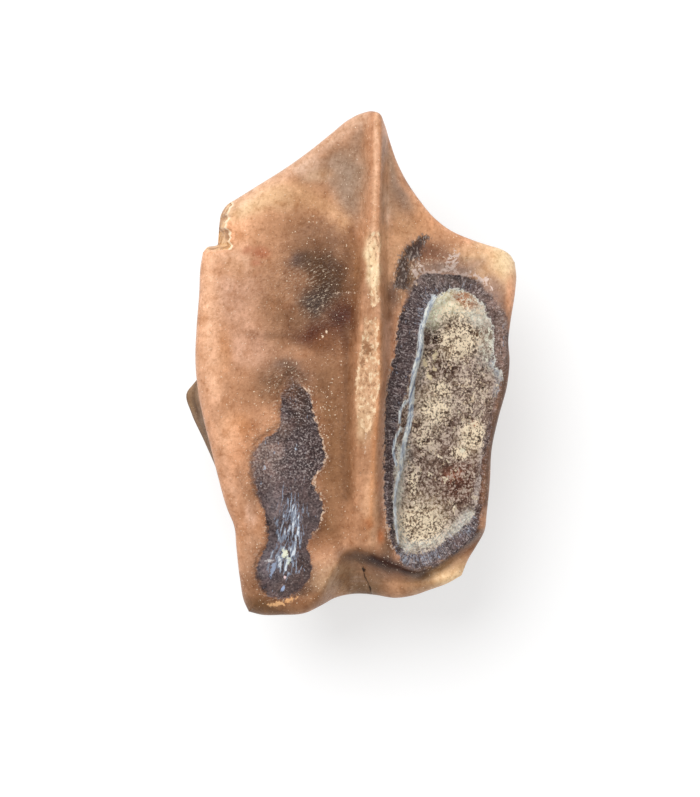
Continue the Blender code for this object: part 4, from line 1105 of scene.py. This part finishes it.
def dentine_layer(tree):
    """Worn dentine: dark and grainy, with pale fibres, fine scratches and streaks along the patch."""
    fibres = tree.noise((10.0, 3.0, 1.0), 3.0, 0.75, 1.5, tree.rim_position())
    hatch = tree.noise((4.0, 13.0, 4.0), 3.0, 0.6, 1.4, turn=-0.22)
    even = tree.noise((11.0, 12.0, 11.0))
    grit = tree.noise((14.0, 13.0, 14.0), 2.0, 0.6)
    blotch = tree.noise((2.2, 2.2, 2.2), 3.0, warp=0.5)
    on_right, height = tree.right_half(), tree.coordinate("Y")
    # The patch is hatched above its neck and grainy below it, and calmer still among its streaks.
    fine = tree.mix(on_right, tree.mix(height.ramp(-2.3 * MM, -3.0 * MM), hatch, even), fibres)
    strength = tree.math("MAXIMUM", height.ramp(-4.0 * MM, -5.6 * MM, 1.0, 0.6), on_right)
    fine = fine.centred(strength) + 0.5
    grit = grit.centred(strength) + 0.5
    colour = tree.read("dentine_tint", "Color")
    colour = tree.shade(blotch.ramp(0.48, 0.68), colour, (1.4, 1.32, 1.3))
    colour = tree.shade(blotch.ramp(0.5, 0.34), colour, (0.7, 0.68, 0.7))
    colour = tree.shade(fine.ramp(0.5, 0.42), colour, (0.52, 0.49, 0.51))
    fibre = fine.ramp(0.54, 0.62, 0.0, 0.54) * on_right.ramp(0.0, 1.0, 0.72, 1.0)
    colour = tree.mix(fibre, colour, (190, 176, 172))
    colour = tree.shade(grit.ramp(0.45, 0.36), colour, (0.5, 0.47, 0.47))
    colour = tree.mix(grit.ramp(0.58, 0.68, 0.0, 0.56), colour, (212, 200, 196))
    flow = tree.combine(tree.read("flow"), height)
    strokes = tree.noise((11.0, 1.8 / MM, 1.0), 4.0, 0.7, 0.5, flow) + tree.read("streaks") * 0.2
    colour = tree.mix(strokes.ramp(0.65, 0.69, 0.0, 0.8), colour, (144, 154, 172))
    colour = tree.mix(strokes.ramp(0.74, 0.78, 0.0, 0.92), colour, (220, 226, 232))
    return colour, fine * 0.6 + grit * 0.3


def stone_chips(tree, colour, height, fine, thickly):
    """Lays pale chips of two sizes, with dark gaps round them, on the stone of the hollow's floor."""
    cream = tree.mix(fine.ramp(0.38, 0.52), (206, 180, 154), (255, 236, 208))
    for scale, bar, share in ((9.5, 0.82, 0.85), (5.2, 0.86, 0.95)):
        distance, value = tree.grains(tree.stirred(tree.place((scale, 0.8 * scale, scale)), 2.6))
        distance = distance + fine.centred(0.9)
        shown = value + thickly * 0.46
        chip = shown.ramp(bar, bar + 0.05) * distance.ramp(0.52, 0.44)
        gap = shown.ramp(bar - 0.05, bar + 0.05) * distance.ramp(0.47, 0.58, 0.0, 0.9)
        colour = tree.shade(gap, colour, (0.34, 0.29, 0.26))
        colour = tree.mix(chip * share, colour, cream)
        height = height + chip * 0.12
    return colour, height


def floor_layer(tree):
    """The hollow's rough floor: brown stone, with pale chips and grains that lie in clusters."""
    lumps = tree.noise((2.6, 2.2, 2.6), 3.0, 0.6, 0.8)
    fine = tree.noise((7.5, 6.5, 7.5), 4.0, 0.75, 0.6)
    grit = tree.noise((11.5, 10.5, 11.5), 2.0, 0.6, 0.5)
    thickly, calm = tree.read("grains"), tree.read("calm")
    tint = tree.read("floor_tint", "Color")
    level = fine * 0.72 + lumps * 0.28
    colour = tree.shade(level.ramp(0.48, 0.42), tint, (0.44, 0.38, 0.35))
    colour = tree.mix((level + thickly * 0.1).ramp(0.53, 0.58, 0.0, 0.6), colour, (212, 196, 178))
    colour, height = stone_chips(tree, colour, level, fine, thickly)
    colour = tree.shade(lumps.ramp(0.52, 0.4), colour, (0.68, 0.61, 0.57))
    crust = tree.shade(fine.ramp(0.49, 0.4), tint, (0.7, 0.66, 0.6))
    crust = tree.mix(fine.ramp(0.52, 0.57, 0.0, 0.8), crust, (255, 250, 230))
    colour = tree.mix(calm, colour, crust)
    pitted = grit.ramp(0.46, 0.39, 0.0, 0.95) * calm.ramp(0.0, 1.0, 1.0, 0.45)
    pitted = pitted * lumps.ramp(0.4, 0.52, 0.55, 1.0)
    colour = tree.shade(pitted, colour, (0.42, 0.35, 0.32))
    bright = grit + thickly * 0.11 + lumps.centred(0.42)
    speck = tree.mix(thickly.ramp(0.1, 0.8), (202, 182, 168), (252, 230, 200))
    shown = bright.ramp(0.57, 0.63, 0.0, 0.92) * thickly.ramp(0.0, 0.5, 0.8, 1.0)
    return tree.mix(shown, colour, speck), height


def worn_masks(tree):
    """Where the enamel has gone, and where the hollow's floor lies, with ragged borders, lit in part."""
    jag = tree.noise((4.5, 4.5, 4.5), 4.0, 0.7).centred(0.5)
    crispness = tree.read("crispness")
    edge = tree.read("worn_edge") + jag
    verge = tree.read("floor_edge") + jag * 1.3
    worn = (edge * crispness).ramp(-0.03, 0.05)
    floor = worn * verge.ramp(-0.03, 0.05)
    halo = edge.ramp(-0.36, 0.0, 0.0, 0.55) * crispness
    outer = abs(edge + 0.02).ramp(0.06, 0.02, 0.0, 0.85) * tree.read("lit_border")
    inner = abs(verge - 0.02).ramp(0.05, 0.015, 0.0, 0.85) * tree.read("lit_floor")
    return worn, floor, halo, outer, inner


def rim_layer(tree, worn, colour):
    """The pale rim of the floor, streaked lengthwise, and the fine fibres that stand out from it."""
    fringe, rim = tree.read("fringe"), tree.read("rim")
    outward = tree.noise((17.0, 2.6, 1.0), 3.0, 0.65, 1.2, tree.rim_position())
    lengthwise = tree.noise((2.4, 11.0, 1.0), 5.0, 0.75, 0.6, tree.rim_position())
    near = worn * fringe.ramp(0.03, 0.2) * lengthwise.ramp(0.4, 0.6, 0.25, 1.0)
    hairs = (outward + fringe * 0.26).ramp(0.62, 0.76, 0.0, 0.8) * near
    bright = tree.mix(outward.ramp(0.5, 0.66), (116, 120, 134), (184, 190, 202))
    colour = tree.mix(hairs, colour, bright)
    amount = (rim + lengthwise.centred(1.5)).ramp(0.45, 0.8, 0.0, 0.92) * rim.ramp(0.03, 0.15)
    streaks = tree.mix(lengthwise.ramp(0.38, 0.48), (108, 120, 144), (176, 186, 198))
    streaks = tree.mix(lengthwise.ramp(0.5, 0.57), streaks, (232, 234, 228))
    return tree.mix(amount * worn, colour, streaks)


def crest_layer(tree, colour):
    """The abraded crest of the ridge: pale broken edges round a peach, pitted middle."""
    crumbs = tree.noise((6.5, 4.5, 6.5), 4.0, 0.7)
    patches = tree.noise((2.4, 1.5, 2.4), 3.0)
    inward = tree.read("crest_edge") + crumbs.centred(0.4)
    inside = inward.ramp(-0.02, 0.05)
    border = inside * inward.ramp(0.12, 0.04) * patches.ramp(0.42, 0.6, 0.0, 0.8)
    colour = tree.mix(inside * 0.35, colour, (246, 202, 160))
    colour = tree.mix(inside * crumbs.ramp(0.46, 0.38, 0.0, 0.7), colour, (152, 110, 82))
    colour = tree.mix(inside * crumbs.ramp(0.52, 0.62, 0.0, 0.75), colour, (255, 226, 188))
    return tree.mix(border, colour, (254, 218, 180)), inside, crumbs


def lit_lines(tree, colour, lit_outer, lit_inner):
    """Broken light lines on cracks and worn borders, and the small marks set one by one."""
    flecks = tree.noise((9.0, 8.0, 9.0), 2.0, 0.6)
    broken = flecks.centred(0.9)
    line = (tree.read("light_line") + broken).ramp(0.78, 0.98, 0.0, 0.85)
    line = tree.math("MAXIMUM", line, lit_outer * flecks.ramp(0.44, 0.58))
    colour = tree.mix(line, colour, (226, 198, 174))
    colour = tree.mix(lit_inner * flecks.ramp(0.4, 0.54), colour, (236, 236, 226))
    mark = (tree.read("mark") + broken * 2.6).ramp(0.1, 0.5, 0.0, 0.85)
    return tree.mix(mark, colour, tree.read("mark_tint", "Color"))


def fossil_material():
    """The whole surface: enamel, worn dentine and the hollow's floor, told apart by their borders."""
    tree = Tree("fossil_enamel")
    enamel, enamel_relief = enamel_layer(tree)
    dentine, dentine_relief = dentine_layer(tree)
    floor, floor_relief = floor_layer(tree)
    worn, inner, halo, lit_outer, lit_inner = worn_masks(tree)
    enamel, abraded, crumbs = crest_layer(tree, tree.shade(halo, enamel, (0.66, 0.56, 0.52)))
    colour = tree.mix(inner, tree.mix(worn, enamel, dentine), floor)
    colour = lit_lines(tree, rim_layer(tree, worn, colour), lit_outer, lit_inner)
    relief = tree.mix(inner, tree.mix(worn, enamel_relief, dentine_relief), floor_relief)
    relief = tree.mix(abraded, relief, crumbs)
    rough = relief.ramp(0.3, 0.7, *ENAMEL_ROUGHNESS) + worn * ROUGHER
    rough = tree.math("ADD", rough, tree.read("bare") * ROUGHER, clamp=True)
    depth = inner.ramp(0.0, 1.0, *(share * MM for share in BUMP_DEPTHS))
    bump = tree.add("Bump", 0, {"Strength": BUMP_STRENGTH, "Distance": depth, "Height": relief})
    surface = {"Base Color": colour, "Roughness": rough, "Normal": bump, "Specular IOR Level": SHEEN}
    for name, value in surface.items():
        tree.feed(tree.surface.inputs[name], value)
    return tree.material


def make_surface():
    """The tooth as one fine closed mesh, laid exactly where the CAD solid lies."""
    block = block_mesh()
    points, field = shaped(np.array([vertex.co for vertex in block.verts]))
    low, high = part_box(NODE)
    middle = (np.array(low[:2]) + np.array(high[:2])) / 2.0 / MM
    shift = middle - (points[:, :2].min(axis=0) + points[:, :2].max(axis=0)) / 2.0
    points[:, :2] += shift
    bmesh.ops.triangulate(block, faces=block.faces)
    mesh = bpy.data.meshes.new(PIECE)
    block.to_mesh(mesh)
    block.free()
    mesh.vertices.foreach_set("co", (points * MM).ravel())
    mesh.shade_smooth()
    values, tints = finish_fields(field)
    for name, value in values.items():
        mesh.attributes.new(name, "FLOAT", "POINT").data.foreach_set("value", value)
    for name, tint in tints.items():
        colours = np.column_stack([tint, np.ones(len(tint))])
        mesh.attributes.new(name, "FLOAT_COLOR", "POINT").data.foreach_set("color", colours.ravel())
    mesh.materials.append(fossil_material())
    mesh.update()
    surface = bpy.data.objects.new(PIECE, mesh)
    bpy.context.scene.collection.objects.link(surface)
    return surface


# ---------------------------------------------------------------- camera, floor and light

# The camera's width of view at the height it is aimed at, the point it is aimed at, and how far
# above that it hangs.
VIEW_WIDTH = 28.0
VIEW_CENTRE = (-0.04, -1.38)
VIEW_PLANE = 6.0
CAMERA_DISTANCE = 200.0
SENSOR_WIDTH = 36.0

# The floor's own colour and how far it glows, and the soft light: its place, width and power in
# metres and watts, with the strength of the white surround.
FLOOR_COLOUR, FLOOR_GLOW = 0.5, 0.58
SOFTBOX_PLACE, SOFTBOX_WIDTH, SOFTBOX_POWER = (-0.11, 0.17, 0.25), 0.3, 0.95
SURROUND = 0.5


def make_camera():
    """A long lens straight above the face, framed as wide as VIEW_WIDTH at the height of the face."""
    data = bpy.data.cameras.new("camera")
    data.sensor_fit = "HORIZONTAL"
    data.sensor_width = SENSOR_WIDTH
    data.lens = SENSOR_WIDTH * CAMERA_DISTANCE / VIEW_WIDTH
    data.clip_start = 0.001
    data.clip_end = 10.0
    camera = bpy.data.objects.new("camera", data)
    camera.location = (VIEW_CENTRE[0] * MM, VIEW_CENTRE[1] * MM, (VIEW_PLANE + CAMERA_DISTANCE) * MM)
    bpy.context.scene.collection.objects.link(camera)
    bpy.context.scene.camera = camera


def make_floor():
    """A plain pale floor that the tooth rests on."""
    bpy.ops.mesh.primitive_plane_add(size=2.0, location=(0.0, 0.0, 0.0))
    floor = bpy.context.object
    floor.name = "floor"
    material = bpy.data.materials.new("floor")
    material.use_nodes = True
    looks = {
        "Base Color": (FLOOR_COLOUR, FLOOR_COLOUR, FLOOR_COLOUR, 1.0),
        "Roughness": 0.9,
        "Specular IOR Level": 0.1,
        "Emission Color": (1.0, 1.0, 1.0, 1.0),
        "Emission Strength": FLOOR_GLOW,
    }
    for name, value in looks.items():
        material.node_tree.nodes["Principled BSDF"].inputs[name].default_value = value
    floor.data.materials.append(material)


def make_light():
    """One broad soft light above and beyond the tip, off to the left, and an even white surround."""
    light = bpy.data.lights.new("softbox", "AREA")
    light.shape = "DISK"
    light.size = SOFTBOX_WIDTH
    light.energy = SOFTBOX_POWER
    softbox = bpy.data.objects.new("softbox", light)
    softbox.location = SOFTBOX_PLACE
    softbox.rotation_euler = Vector(SOFTBOX_PLACE).to_track_quat("Z", "Y").to_euler()
    bpy.context.scene.collection.objects.link(softbox)
    world = bpy.data.worlds.new("surround")
    world.use_nodes = True
    background = world.node_tree.nodes["Background"]
    background.inputs["Color"].default_value = (1.0, 1.0, 1.0, 1.0)
    background.inputs["Strength"].default_value = SURROUND
    bpy.context.scene.world = world
    bpy.context.scene.view_settings.view_transform = "Standard"


tooth = make_surface()
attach(tooth, "root")
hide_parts(NODE)
make_camera()
make_floor()
make_light()
